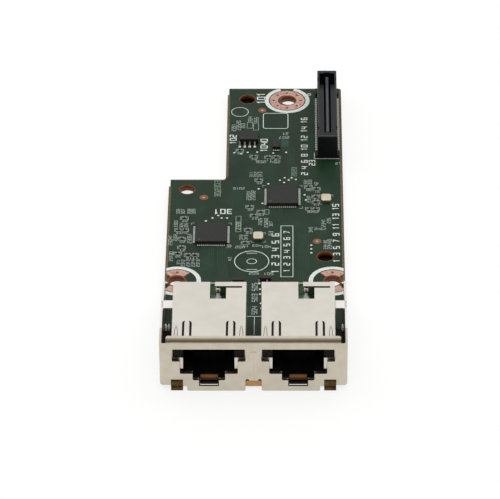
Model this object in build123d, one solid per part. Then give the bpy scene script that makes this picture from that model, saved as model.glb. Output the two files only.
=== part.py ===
from build123d import *
import os

# A two-port network card: circuit board, folded front bracket, two shielded jacks, board-to-board connector.
# X runs across the card, Y from the front panel to the rear edge, Z up from the surface the card lies on.
# Setbacks are measured back from the panel's outer face, and heights from the top of the board.

# Circuit board
BOARD_THICKNESS = 1.6
BOARD_FRONT = 3.1         # setback of the front edge under the jacks
STEP_SETBACK = 82.5       # where the left edge steps in
NARROW_LENGTH = 41.5      # from that step to the rear edge
NARROW_WIDTH = 29.5       # width behind the step
BOARD_CORNER_R = 0.8
TONGUE_GAP = 1.0          # between a jack's chin and the strip of board that reaches the panel
SCREW_HOLE_R = 2.05
REAR_HOLE_R = 2.05        # plain locating holes
LEFT_HOLE_R = 1.95
RIGHT_HOLE_R = 2.05
BREAK_STEP = 0.35         # left where the board was broken out of its frame
BREAK_LENGTH = 3.0

# Front bracket, one folded sheet
SHEET = 0.5
BEND_R = 0.9              # outer radius of the wing bends
FLANGE_R = 1.4            # outer radius of the top bend
FLANGE_DEPTH = 1.5
FLANGE_INSET = 1.55       # from the panel's ends
FLANGE_END_R = 0.7
PANEL_CORNER_R = 0.8
PANEL_BOTTOM = -0.8       # height of the panel's lower corners
TAB_DROP = 0.9            # reach of the panel's tabs below the board
TAB_OVERLAP = 0.75        # of each tab over the board's tongue
TAB_END = 6.35            # outer end of each tab, from the panel's end
TAB_CORNER_R = 0.4
MIDDLE_BOTTOM = 0.5       # lower edge of the panel in front of the board's tongue
RELIEF_R = 0.45           # bend reliefs at the ends of that edge
RIB_WIDTH = 1.3           # pressed rib between the ports
RIB_LENGTH = 6.0
RIB_HEIGHT = 5.9          # height of its middle
RIB_RISE = 0.06
WING_LENGTH = 33.0
WING_TOP = 11.2           # height of the wings behind the panel
WING_SLOPE_START = 12.0   # setback where their top edge starts to fall
WING_REAR_TOP = 5.3
WING_REAR_R = 1.2
WING_GAP = 0.1            # between a wing and the board's edge
GROUND_TAB_SETBACK = 17.4  # middle of the tab that bends in to the shield
GROUND_TAB_WIDTH = 3.0
GROUND_TAB_TOP = 9.7
GROUND_TAB_RELIEF = 0.4
EAR_REACH = 0.95          # small bent-in ear at the rear end of a wing
EAR_LOW = 3.2
EAR_HIGH = 4.6

# Spring clips on the panel's lower edge
CLIP_WIDTH = 2.8
CLIP_INSET = 4.0          # its middle from the panel's end
CLIP_STRIP = 0.25
CLIP_TOP = 0.6
CLIP_PINCH = 0.3          # nip under the panel's edge, below it
CLIP_NIP = 0.215          # depth of the nip
CLIP_LIFT = 0.1           # from the surface that the card lies on
CLIP_GAP = 0.03

# Plug openings, shared by the panel, the shields and the housings
PORT_TOP = 9.65
PORT_EAR_INSET = 0.1      # ends of the light windows' opening from the jack's sides
PORT_EAR_BOTTOM = 6.1
PORT_WIDTH = 12.0
PORT_BOTTOM = 2.5
FLARE = 0.75              # the panel's opening, and the lower corners of the jack's, wider than the plug
FLARE_HEIGHT = 0.8
SHOULDER_WIDTH = 7.6
SHOULDER_BOTTOM = 0.6
LATCH_WIDTH = 4.65
LATCH_BOTTOM = -1.1
PORT_CORNER_R = 0.35

# Jack shields
JACK_HEIGHT = 12.0
JACK_REAR = 23.45         # setback of the rear wall
JACK_GAP = 3.45           # between the jacks
SIDE_BAY = 2.3            # between a jack and the wing beside it
SHIELD_GAP = 0.5          # behind the panel
SHIELD_SHEET = 0.25
SHIELD_R = 0.5
CHIN_BOTTOM = -2.0        # front wall that drops past the board's front edge
FINGER_INSET = 3.575      # spring fingers in the top, from the jack's sides
FINGER_WIDTH = 1.15
FINGER_LENGTH = 6.1
SLIT = 0.55
DROP_INSET = 1.075        # small pointed tongues near the front corners, from the jack's sides
DROP_WIDTH = 0.95
DROP_LENGTH = 4.4
DROP_SLIT = 0.15
NOTCH_LEFT = 0.05         # notch in the top, from the jack's middle
NOTCH_RIGHT = 3.85
NOTCH_DEPTH = 6.95        # from the rear wall
STRIP_LEFT = 1.2          # rear strip over the notch
STRIP_DEPTH = 2.0
STRIP_SLIT = 0.65
STRIP_END = 1.075         # end of its slit from the jack's side
TAIL_SETBACK = 12.2       # shield tails through the board
TAIL_WIDTH = 1.5
TAIL_PROUD = 0.6          # reach of all soldered tails below the board
HOLE_GAP = 0.2            # round a tail or a pin in its hole

# Inside each jack
FIT = 0.05                # between a moulding and the shield
HOUSING_REAR = 15.6
CAVITY_DEPTH = 13.0       # plug opening, from the front of the housing
SHOULDER_DEPTH = 7.0
CHIN_NARROW = 0.25        # each leg of the moulded chin reaches past the shield's latch slot
LEDGE = 0.55              # bar between the legs, level with the board's underside
LEDGE_DEPTH = 0.6
WINDOW_WALL = 0.35        # between a light window and the plug opening
WINDOW_WIDTH = 2.025
WINDOW_BOTTOM = 6.5
WINDOW_DEPTH = 8.0
CONTACTS = 8
CONTACT_PITCH = 1.02
CONTACT_WIDTH = 0.45
CONTACT_STRIP = 0.3
CONTACT_BEND_R = 0.5
CONTACT_FRONT = 5.0       # setback of the bend
CONTACT_TIP = 11.5        # setback of the free end
CONTACT_DIP = 2.4         # of the free end below the roof of the opening
CORE_SIDE = 0.5           # magnetics block clear of the shield
CORE_BOTTOM = 0.3
CORE_TOP = 7.4
INNER_BOARD = 0.8
POST_PLACE = 1.9          # brass post behind the notch, from the jack's middle
POST_INSET = 1.7          # from the rear wall
POST_R = 0.3
POST_TOP = 11.6
PIN_SIDE = 0.5
PIN_PITCH = 2.54
PIN_COUNT = 5             # in each of the first two rows
FIRST_ROW = 17.2          # setbacks of the pin rows
SECOND_ROW = 19.74
LIGHT_ROW = 22.2
LIGHT_PIN_INSET = 1.775   # outer pins of the light row, from the jack's sides

# Board-to-board connector
MEZZ_INSET = 3.73         # its middle from the board's right edge
MEZZ_MARGIN = 1.1         # its rear end from the board's rear edge
MEZZ_WIDTH = 4.95
MEZZ_FRONT_END = 3.55     # from the first contact to the front end of the housing
MEZZ_REAR_END = 4.05
MEZZ_HEIGHT = 6.5
MEZZ_STANDOFF = 0.25
MEZZ_FOOT = 2.4           # length of each end foot
MEZZ_FOOT_WIDTH = 5.9
MEZZ_FOOT_HEIGHT = 0.8
MEZZ_WELL_WIDTH = 1.75
MEZZ_WELL_FRONT = 1.9     # end walls of the well
MEZZ_WELL_REAR = 1.2
MEZZ_WELL_FLOOR = 1.6
MEZZ_BLADE_WIDTH = 0.8
MEZZ_BLADE_END = 1.2      # from the end of the well
MEZZ_BLADE_TOP = 6.0
MEZZ_KEY = 0.3            # grooves in the outer walls near the ends
MEZZ_KEY_LENGTH = 1.1
MEZZ_KEY_INSET = 4.2
MEZZ_CHAMFER = 0.25
MEZZ_CONTACTS = 30        # in each row
MEZZ_PITCH = 0.8
MEZZ_CONTACT_WIDTH = 0.35
MEZZ_CONTACT_STRIP = 0.18
MEZZ_CONTACT_TOP = 3.2
MEZZ_CONTACT_GAP = 0.04   # from the blade
MEZZ_TAIL_REACH = 2.95    # from the connector's middle

# Network chips
CHIP_SIDE = 8.0
CHIP_HEIGHT = 0.85
CHIP_DRAFT = 12
CHIP_TERMINALS = 14       # on each side
CHIP_PITCH = 0.5
TERMINAL_WIDTH = 0.28
TERMINAL_REACH = 0.35
TERMINAL_THICKNESS = 0.15

# Memory chip
MEMORY_LENGTH = 4.9
MEMORY_WIDTH = 3.9
MEMORY_HEIGHT = 1.4
BODY_LIFT = 0.1           # moulded bodies clear of the board
BODY_DRAFT = 8
LEAD_SPAN = 6.0
LEAD_PITCH = 1.27
LEAD_WIDTH = 0.42
LEAD_STRIP = 0.2
LEAD_FOOT = 0.5

# Regulator, crystals and transistors
REGULATOR_SIZE = (1.9, 3.6, 0.9)
REGULATOR_TERMINALS = 4
REGULATOR_PITCH = 0.45
CRYSTAL_SIZE = (2.7, 3.2)
CRYSTAL_BASE = 0.45
CRYSTAL_LID = 0.3
CRYSTAL_RIM = 0.15        # base beyond the lid
CRYSTAL_CORNER = 0.4      # cut off at each corner
TRANSISTOR_SIZE = (2.9, 1.3, 0.95)
TRANSISTOR_SPAN = 2.5
TRANSISTOR_FOOT = 0.3
TRANSISTOR_PITCH = 0.95

# Chip capacitors and resistors
CHIP_LENGTH = 1.0
CHIP_WIDTH = 0.5
CHIP_END = 0.25           # length of each end cap
CAPACITOR_HEIGHT = 0.5
RESISTOR_HEIGHT = 0.35

# Values that follow from the driving sizes
JACK_WIDTH = PORT_WIDTH + 2 * (WINDOW_WALL + WINDOW_WIDTH + FIT + SHIELD_SHEET)
JACK_PITCH = JACK_WIDTH + JACK_GAP
BOARD_WIDTH = 2 * (JACK_WIDTH + SIDE_BAY + SHEET) + JACK_GAP
BOARD_REAR = STEP_SETBACK + NARROW_LENGTH
MEZZ_SPAN = (MEZZ_CONTACTS - 1) * MEZZ_PITCH
PORT_EAR_WIDTH = JACK_WIDTH - 2 * PORT_EAR_INSET
FLARE_WIDTH = PORT_WIDTH + 2 * FLARE
TONGUE_WIDTH = JACK_PITCH - FLARE_WIDTH - 2 * TONGUE_GAP
WINDOW_INNER = PORT_WIDTH / 2 + WINDOW_WALL
LIGHT_PINS = [way * (JACK_WIDTH / 2 - LIGHT_PIN_INSET - step) for way in (-1, 1) for step in (0, PIN_PITCH)]

# Frame: the card's middle lies over the origin
CLIP_PROUD = CLIP_STRIP + CLIP_GAP
PANEL_Y = (CLIP_PROUD - BOARD_REAR) / 2
BOARD_TOP = TAB_DROP + BOARD_THICKNESS
UNDERSIDE = -BOARD_THICKNESS
HALF = BOARD_WIDTH / 2
SIDES = {"left": -1, "right": 1}

# Seats that line one piece up with another
TAB_INNER = TONGUE_WIDTH / 2 - TAB_OVERLAP
TAB_OUTER = HALF - TAB_END
TONGUE_FRONT = SHEET + WING_GAP
FLANGE_TOP = JACK_HEIGHT + SHEET
PANEL_TOP = FLANGE_TOP - FLANGE_R
SHIELD_FRONT = SHEET + SHIELD_GAP
HOUSING_FRONT = SHIELD_FRONT + SHIELD_SHEET
HOUSING_HALF = JACK_WIDTH / 2 - SHIELD_SHEET - FIT
HOUSING_TOP = JACK_HEIGHT - SHIELD_SHEET - FIT
TAIL_BOTTOM = UNDERSIDE - TAIL_PROUD
LEDGE_TOP = UNDERSIDE - FIT
CHIN_REAR = BOARD_FRONT - FIT
MEZZ_REAR = BOARD_REAR - MEZZ_MARGIN
MEZZ_MIDDLE = MEZZ_REAR - MEZZ_REAR_END - MEZZ_SPAN / 2
MEZZ_FRONT = MEZZ_MIDDLE - MEZZ_SPAN / 2 - MEZZ_FRONT_END


# Places on the board, as a distance across from an edge and a setback

def from_left(x):
    return x - HALF


def from_right(x):
    return HALF - x


def from_narrow(x):
    return HALF - NARROW_WIDTH + x


def from_rear(y):
    return BOARD_REAR - y


FRONT_SCREWS = [(from_left(3.0), WING_LENGTH + 6.6), (from_right(3.0), WING_LENGTH + 6.6)]
REAR_SCREW = (from_right(13.75), from_rear(5.6))
REAR_HOLE = (from_narrow(5.17), from_rear(5.0))
LEFT_HOLE = (from_left(4.65), STEP_SETBACK - 4.4)
RIGHT_HOLE = (from_right(4.7), WING_LENGTH + 16.7)
FRONT_CHIP = (from_left(11.0), 58.7)
REAR_CHIP = (from_right(15.2), STEP_SETBACK - 7.6)
MEMORY_CHIP = (from_narrow(5.7), from_rear(23.75))
REGULATOR = (from_narrow(12.7), from_rear(26.3))
CRYSTALS = [(0.7, 57.6), (from_right(4.3), STEP_SETBACK - 8.7)]
TRANSISTORS = [(-4.1, 39.2), (2.45, 40.0)]
CAPACITORS = [(from_narrow(10.7), from_rear(31.7)), (from_narrow(12.7), from_rear(31.7)),
              (from_right(6.85), STEP_SETBACK - 7.5), (from_right(6.85), STEP_SETBACK - 9.8),
              (1.3, STEP_SETBACK - 14.1), (from_left(5.5), 50.2), (from_left(7.1), 50.2), (-1.8, 60.8),
              (-2.5, 55.3), (from_left(3.8), 57.0), (from_left(3.8), 53.4), (from_left(4.2), 65.7)]
RESISTORS = [(from_narrow(3.4), from_rear(28.6)), (from_narrow(7.0), from_rear(31.3)),
             (0.7, STEP_SETBACK - 0.3), (-1.5, STEP_SETBACK - 11.9), (-0.4, STEP_SETBACK - 15.6),
             (from_right(8.5), STEP_SETBACK - 12.8), (from_right(7.0), STEP_SETBACK - 12.8),
             (from_right(8.7), STEP_SETBACK - 3.3), (from_right(6.7), STEP_SETBACK - 4.1),
             (from_left(2.9), 50.9), (from_left(2.9), 60.7), (from_left(4.4), 60.7)]


# Sketch planes and small drawing helpers

def top_plane(height=0.0):
    return Plane((0, PANEL_Y, BOARD_TOP + height))


def front_plane(setback=0.0):
    return Plane((0, PANEL_Y + setback, BOARD_TOP), x_dir=(1, 0, 0), z_dir=(0, -1, 0))


def side_plane(x=0.0):
    return Plane((x, PANEL_Y, BOARD_TOP), x_dir=(0, 1, 0), z_dir=(1, 0, 0))


def window(x, y):
    return Pos((x[0] + x[1]) / 2, (y[0] + y[1]) / 2) * Rectangle(x[1] - x[0], y[1] - y[0])


def band(middle, width):
    return (middle - width / 2, middle + width / 2)


def rise(sketch, low, high):
    return extrude(top_plane(low) * sketch, high - low)


def deepen(sketch, front, rear):
    return extrude(front_plane(front) * sketch, front - rear)


def widen(sketch, x):
    return extrude(side_plane(x[0]) * sketch, x[1] - x[0])


def corners(sketch, test, radius):
    return fillet([v for v in sketch.vertices() if test(v)], radius)


def eight_flats(radius):
    # solder holes and posts, hidden or tiny, drawn with eight flats
    return RegularPolygon(radius, 8, major_radius=False)


def row(count, pitch):
    return [(i - (count - 1) / 2) * pitch for i in range(count)]


def jack_x(side):
    return SIDES[side] * JACK_PITCH / 2


# Circuit board

def pin_places(side):
    middle = jack_x(side)
    stagger = PIN_PITCH / 4
    first = [(middle + x - stagger, FIRST_ROW) for x in row(PIN_COUNT, PIN_PITCH)]
    second = [(middle + x + stagger, SECOND_ROW) for x in row(PIN_COUNT, PIN_PITCH)]
    return first + second + [(middle + x, LIGHT_ROW) for x in LIGHT_PINS]


def tail_places(side):
    reach = JACK_WIDTH / 2 - SHIELD_SHEET / 2
    return [(jack_x(side) + way * reach, TAIL_SETBACK) for way in (-1, 1)]


def circuit_board():
    narrow_edge = HALF - NARROW_WIDTH
    outline = window((-HALF, HALF), (BOARD_FRONT, STEP_SETBACK))
    outline += window((narrow_edge, HALF), (BOARD_FRONT, BOARD_REAR))
    outline = fillet(outline.vertices(), BOARD_CORNER_R)
    outline += window(band(0, TONGUE_WIDTH), (TONGUE_FRONT, BOARD_FRONT + BOARD_CORNER_R))
    relief = SHEET + WING_GAP
    for x in ((-HALF, -HALF + relief), (HALF - relief, HALF)):
        outline -= window(x, (BOARD_FRONT, WING_LENGTH + WING_GAP))
    for edge, rear in ((-HALF, STEP_SETBACK), (narrow_edge, BOARD_REAR)):
        outline -= window((edge, edge + BREAK_STEP), (rear - BREAK_LENGTH, rear))
    holes = [(place, SCREW_HOLE_R) for place in FRONT_SCREWS + [REAR_SCREW]]
    holes += [(REAR_HOLE, REAR_HOLE_R), (LEFT_HOLE, LEFT_HOLE_R), (RIGHT_HOLE, RIGHT_HOLE_R)]
    for place, radius in holes:
        outline -= Pos(*place) * Circle(radius)
    for side in SIDES:
        for place in pin_places(side):
            outline -= Pos(*place) * eight_flats(PIN_SIDE * 0.71 + HOLE_GAP)
        for place in tail_places(side):
            outline -= Pos(*place) * eight_flats(TAIL_WIDTH / 2 + HOLE_GAP)
    return rise(outline, UNDERSIDE, 0)


# Plug opening, drawn about the jack's middle

def port_outline(ear_width, ear_bottom, flare_height, latch_bottom):
    ears = window(band(0, ear_width), (ear_bottom, PORT_TOP))
    ears = fillet(ears.vertices(), PORT_CORNER_R)
    flare = window(band(0, FLARE_WIDTH), (PORT_BOTTOM, PORT_BOTTOM + flare_height))
    flare = corners(flare, lambda v: v.Y < PORT_BOTTOM + FIT, PORT_CORNER_R)
    main = window(band(0, PORT_WIDTH), (PORT_BOTTOM, PORT_TOP))
    shoulder = window(band(0, SHOULDER_WIDTH), (SHOULDER_BOTTOM, PORT_BOTTOM + FLARE_HEIGHT))
    shoulder = corners(shoulder, lambda v: v.Y < PORT_BOTTOM, PORT_CORNER_R)
    latch = window(band(0, LATCH_WIDTH), (latch_bottom, PORT_BOTTOM))
    return ears + flare + main + shoulder + latch


def panel_port():
    # the panel's opening stays wide up to the ears, so the shield's face shows beside the plug
    straight = PORT_EAR_BOTTOM + FLARE_HEIGHT - PORT_BOTTOM
    return port_outline(PORT_EAR_WIDTH, PORT_EAR_BOTTOM, straight, LATCH_BOTTOM)


def shield_port():
    return port_outline(2 * (HOUSING_HALF + FIT), WINDOW_BOTTOM, FLARE_HEIGHT, CHIN_BOTTOM)


# Front bracket

def wing_profile():
    low = PANEL_BOTTOM
    profile = make_face(Polyline((0, low), (WING_LENGTH, low), (WING_LENGTH, WING_REAR_TOP),
                                 (WING_SLOPE_START, WING_TOP), (0, WING_TOP), close=True))
    return corners(profile, lambda v: v.X > WING_LENGTH - SHEET, WING_REAR_R)


def panel_profile():
    tab_bottom = UNDERSIDE - TAB_DROP
    profile = window((-HALF, HALF), (PANEL_BOTTOM, PANEL_TOP))
    profile = corners(profile, lambda v: v.Y < 0, PANEL_CORNER_R)
    for way in (-1, 1):
        tab = window(sorted((way * TAB_INNER, way * TAB_OUTER)), (tab_bottom, PANEL_TOP))
        profile += corners(tab, lambda v: v.Y < 0, TAB_CORNER_R)
    profile -= window((-TAB_INNER, TAB_INNER), (tab_bottom, MIDDLE_BOTTOM))
    for way in (-1, 1):
        profile -= Pos(way * (TAB_INNER - RELIEF_R), MIDDLE_BOTTOM) * Circle(RELIEF_R)
        profile -= Pos(way * JACK_PITCH / 2, 0) * panel_port()
    return profile


def bent_tab(reach, top, radius):
    # an upright leg that bends over to a level tab, drawn with its outer corner at x = 0
    leg = window((-reach, 0), (top - 2 * radius, top))
    leg = corners(leg, lambda v: v.X > -SHEET and v.Y > top - SHEET, radius)
    inner = window((-reach, -SHEET), (top - 2 * radius, top - SHEET))
    inner = corners(inner, lambda v: v.X > -2 * SHEET and v.Y > top - 2 * SHEET, radius - SHEET)
    return leg - inner


def front_bracket():
    fold = corners(window((-HALF, HALF), (0, WING_LENGTH)), lambda v: v.Y < SHEET, BEND_R)
    inside = window((SHEET - HALF, HALF - SHEET), (SHEET, WING_LENGTH))
    fold -= corners(inside, lambda v: v.Y < 2 * SHEET, BEND_R - SHEET)
    sheet = rise(fold, UNDERSIDE - TAB_DROP, PANEL_TOP)
    panel = deepen(panel_profile(), 0, SHEET)
    bends = widen(window((0, BEND_R), (PANEL_BOTTOM, WING_TOP)), (-HALF, HALF))
    bends -= widen(window((0, BEND_R), (PANEL_BOTTOM, WING_TOP)), (BEND_R - HALF, HALF - BEND_R))
    wings = widen(wing_profile(), (-HALF, HALF))
    wings -= deepen(window((-HALF, HALF), (PANEL_BOTTOM, WING_TOP)), 0, BEND_R)
    bracket = sheet & (panel + bends + wings)

    flange = window((0, FLANGE_DEPTH), (PANEL_TOP, FLANGE_TOP))
    flange = corners(flange, lambda v: v.X < SHEET and v.Y > FLANGE_TOP - SHEET, FLANGE_R)
    under = window((SHEET, FLANGE_DEPTH), (PANEL_TOP, FLANGE_TOP - SHEET))
    flange -= corners(under, lambda v: v.X < 2 * SHEET and v.Y > FLANGE_TOP - 2 * SHEET, FLANGE_R - SHEET)
    flange_span = band(0, BOARD_WIDTH - 2 * FLANGE_INSET)
    flange_plan = window(flange_span, (0, FLANGE_DEPTH))
    flange_plan = corners(flange_plan, lambda v: v.Y > SHEET, FLANGE_END_R)
    bracket += widen(flange, flange_span) & rise(flange_plan, PANEL_TOP, FLANGE_TOP)
    bracket += deepen(window(band(0, RIB_WIDTH), band(RIB_HEIGHT, RIB_LENGTH)), -RIB_RISE, 0)

    tab_span = band(GROUND_TAB_SETBACK, GROUND_TAB_WIDTH)
    gap_span = (tab_span[0] - GROUND_TAB_RELIEF, tab_span[1] + GROUND_TAB_RELIEF)
    bracket -= widen(window(gap_span, (GROUND_TAB_TOP - 2 * BEND_R, WING_TOP)), (-HALF, HALF))
    reach = SHEET + SIDE_BAY - WING_GAP
    for side, way in SIDES.items():
        tab = deepen(Pos(HALF, 0) * bent_tab(reach, GROUND_TAB_TOP, BEND_R), *tab_span)
        ear = window((HALF - EAR_REACH, HALF - SHEET), (EAR_LOW, EAR_HIGH))
        ear = deepen(ear, WING_LENGTH - SHEET, WING_LENGTH)
        for piece in (tab, ear):
            bracket += piece if way > 0 else mirror(piece, Plane.YZ)
    return bracket


# Spring clip over the panel's lower edge

def bracket_clip(side):
    # a strip nipped in under the panel's edge, so its front shows two beads one over the other
    front = -CLIP_GAP - CLIP_STRIP / 2
    rear = SHEET + CLIP_GAP + CLIP_STRIP / 2
    low = UNDERSIDE - TAB_DROP + CLIP_LIFT + CLIP_STRIP / 2
    nip = PANEL_BOTTOM - CLIP_PINCH
    bead = CLIP_NIP
    line = Polyline((front, CLIP_TOP), (front, nip + bead), (front + bead, nip), (front, nip - bead),
                    (front, low + bead), (front + bead, low), (rear - bead, low), (rear, low + bead),
                    (rear, CLIP_TOP))
    return widen(trace(line, CLIP_STRIP), band(SIDES[side] * (HALF - CLIP_INSET), CLIP_WIDTH))


# Jack shield, folded from thin sheet

def shield_shell(middle, inset):
    half = JACK_WIDTH / 2 - inset
    plan = window(band(middle, 2 * half), (SHIELD_FRONT + inset, JACK_REAR - inset))
    return rise(plan, 0, JACK_HEIGHT - inset)


def slit_pair(middle, front):
    # two slits free a spring finger, and their rear ends turn in towards its root
    end = front + FINGER_LENGTH
    pair = []
    for way in (-1, 1):
        inner = middle + way * FINGER_WIDTH / 2
        outer = inner + way * SLIT
        quarter = way * SLIT / 4
        pair.append(make_face(Polyline((inner, front), (outer, front), (outer, end - 1.5 * SLIT),
                                       (outer - quarter, end - SLIT / 2), (inner + quarter, end),
                                       (inner - quarter, end), (inner, end - SLIT), close=True)))
    return pair[0] + pair[1]


def drop_slit(x, front):
    # a fine slit round a small pointed tongue that stays joined at the front
    faces = []
    for inset in (0, DROP_SLIT):
        half = DROP_WIDTH / 2 - inset
        tip = front + DROP_LENGTH - 2 * inset
        neck = front + DROP_LENGTH * 0.7 - inset
        faces.append(make_face(Polyline((x - half, front), (x - 0.7 * half, neck), (x, tip),
                                        (x + 0.7 * half, neck), (x + half, front), close=True)))
    return faces[0] - faces[1]


def jack_shield(side):
    middle = jack_x(side)
    outside = shield_shell(middle, 0)
    outside = fillet(outside.faces().sort_by(Axis.Z)[-1].edges(), SHIELD_R)
    shield = outside - shield_shell(middle, SHIELD_SHEET)
    chin = window(band(middle, FLARE_WIDTH), (CHIN_BOTTOM, SHIELD_R))
    chin = corners(chin, lambda v: v.Y < 0, PORT_CORNER_R)
    shield += deepen(chin, SHIELD_FRONT, HOUSING_FRONT)
    shield -= deepen(Pos(middle, 0) * shield_port(), SHIELD_FRONT, HOUSING_FRONT)

    cut = slit_pair(middle + FINGER_INSET - JACK_WIDTH / 2, HOUSING_FRONT + SHIELD_R)
    cut += slit_pair(middle - FINGER_INSET + JACK_WIDTH / 2, HOUSING_FRONT + SHIELD_R)
    inner_rear = JACK_REAR - STRIP_DEPTH
    notch = (JACK_REAR - NOTCH_DEPTH, inner_rear)
    cut += window((middle + NOTCH_LEFT, middle + NOTCH_RIGHT), notch)
    cut += window((middle + NOTCH_LEFT, middle + STRIP_LEFT), (notch[0], JACK_REAR))
    slit_right = middle + JACK_WIDTH / 2 - STRIP_END
    cut += window((middle + NOTCH_LEFT, slit_right), (inner_rear - STRIP_SLIT, inner_rear))
    for way in (-1, 1):
        cut += drop_slit(middle + way * (JACK_WIDTH / 2 - DROP_INSET), HOUSING_FRONT + SHIELD_R)
    shield -= rise(cut, JACK_HEIGHT - SHIELD_R, JACK_HEIGHT)
    for x, setback in tail_places(side):
        shield += widen(window(band(setback, TAIL_WIDTH), (TAIL_BOTTOM, SHIELD_R)), band(x, SHIELD_SHEET))
    return shield


# Moulded housing with the plug opening

def jack_housing(side):
    middle = jack_x(side)
    plan = window(band(middle, 2 * HOUSING_HALF), (HOUSING_FRONT + FIT, HOUSING_REAR))
    housing = rise(plan, FIT, HOUSING_TOP)
    housing = fillet(housing.faces().sort_by(Axis.Z)[-1].edges(), SHIELD_R - SHIELD_SHEET)
    front = HOUSING_FRONT + FIT
    chin = window(band(middle, FLARE_WIDTH), (LEDGE_TOP - LEDGE, SHIELD_R))
    housing += deepen(chin, front, CHIN_REAR)
    main = window(band(middle, PORT_WIDTH), (PORT_BOTTOM, PORT_TOP))
    housing -= deepen(main, front, front + CAVITY_DEPTH)
    shoulder = window(band(middle, SHOULDER_WIDTH), (SHOULDER_BOTTOM, PORT_BOTTOM))
    housing -= deepen(shoulder, front, front + SHOULDER_DEPTH)
    latch = band(middle, LATCH_WIDTH - 2 * CHIN_NARROW)
    housing -= deepen(window(latch, (LEDGE_TOP, SHOULDER_BOTTOM)), front, front + SHOULDER_DEPTH)
    housing -= deepen(window(latch, (LEDGE_TOP - LEDGE, LEDGE_TOP)), front, CHIN_REAR - LEDGE_DEPTH)
    for way in (-1, 1):
        span = sorted((middle + way * WINDOW_INNER, middle + way * HOUSING_HALF))
        pocket = window(span, (WINDOW_BOTTOM, PORT_TOP))
        housing -= deepen(pocket, front, front + WINDOW_DEPTH)
    for place in row(CONTACTS, CONTACT_PITCH):
        low = PORT_TOP - CONTACT_STRIP - FIT
        slot = window(band(middle + place, CONTACT_WIDTH + FIT), (low, PORT_TOP))
        housing -= deepen(slot, front + CAVITY_DEPTH, HOUSING_REAR)
    return housing


def jack_light_windows(side):
    middle = jack_x(side)
    front = HOUSING_FRONT + FIT
    windows = []
    for way in (-1, 1):
        inner, outer = WINDOW_INNER + FIT, HOUSING_HALF - FIT
        span = sorted((middle + way * inner, middle + way * outer))
        face = window(span, (WINDOW_BOTTOM + FIT, PORT_TOP - FIT))
        windows.append(deepen(face, SHIELD_FRONT + FIT, front + WINDOW_DEPTH))
    return windows


def jack_contacts(side):
    roof = PORT_TOP - CONTACT_STRIP / 2
    bend = CONTACT_BEND_R
    line = Polyline((HOUSING_REAR + FIT, roof), (CONTACT_FRONT, roof), (CONTACT_FRONT - bend, roof - bend),
                    (CONTACT_FRONT, roof - 2 * bend), (CONTACT_TIP, PORT_TOP - CONTACT_DIP))
    section = trace(line, CONTACT_STRIP)
    return [widen(section, band(jack_x(side) + x, CONTACT_WIDTH)) for x in row(CONTACTS, CONTACT_PITCH)]


def core_plan(side):
    half = JACK_WIDTH / 2 - SHIELD_SHEET - CORE_SIDE
    return window(band(jack_x(side), 2 * half), (HOUSING_REAR + FIT, JACK_REAR - SHIELD_SHEET - FIT))


def jack_magnetics(side):
    # the block stands behind the housing, and its front wall rises to hold the contacts
    block = rise(core_plan(side), CORE_BOTTOM, CORE_TOP)
    half = JACK_WIDTH / 2 - SHIELD_SHEET - CORE_SIDE
    riser = window(band(jack_x(side), 2 * half), (HOUSING_REAR + FIT, FIRST_ROW - PIN_SIDE))
    return block + rise(riser, CORE_TOP, PORT_TOP + CONTACT_STRIP)


def jack_inner_board(side):
    half = JACK_WIDTH / 2 - SHIELD_SHEET - CORE_SIDE
    plan = window(band(jack_x(side), 2 * half), (FIRST_ROW - PIN_SIDE + FIT, JACK_REAR - SHIELD_SHEET - FIT))
    plan -= Pos(jack_x(side) + POST_PLACE, JACK_REAR - POST_INSET) * eight_flats(POST_R + FIT)
    return rise(plan, CORE_TOP, CORE_TOP + INNER_BOARD)


def jack_pins(side):
    square = Rectangle(PIN_SIDE, PIN_SIDE)
    pins = [rise(Pos(*place) * square, TAIL_BOTTOM, CORE_BOTTOM) for place in pin_places(side)]
    post = Pos(jack_x(side) + POST_PLACE, JACK_REAR - POST_INSET) * eight_flats(POST_R)
    return pins + [rise(post, CORE_TOP, POST_TOP)]


# Board-to-board connector

def mezz_x():
    return HALF - MEZZ_INSET


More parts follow.
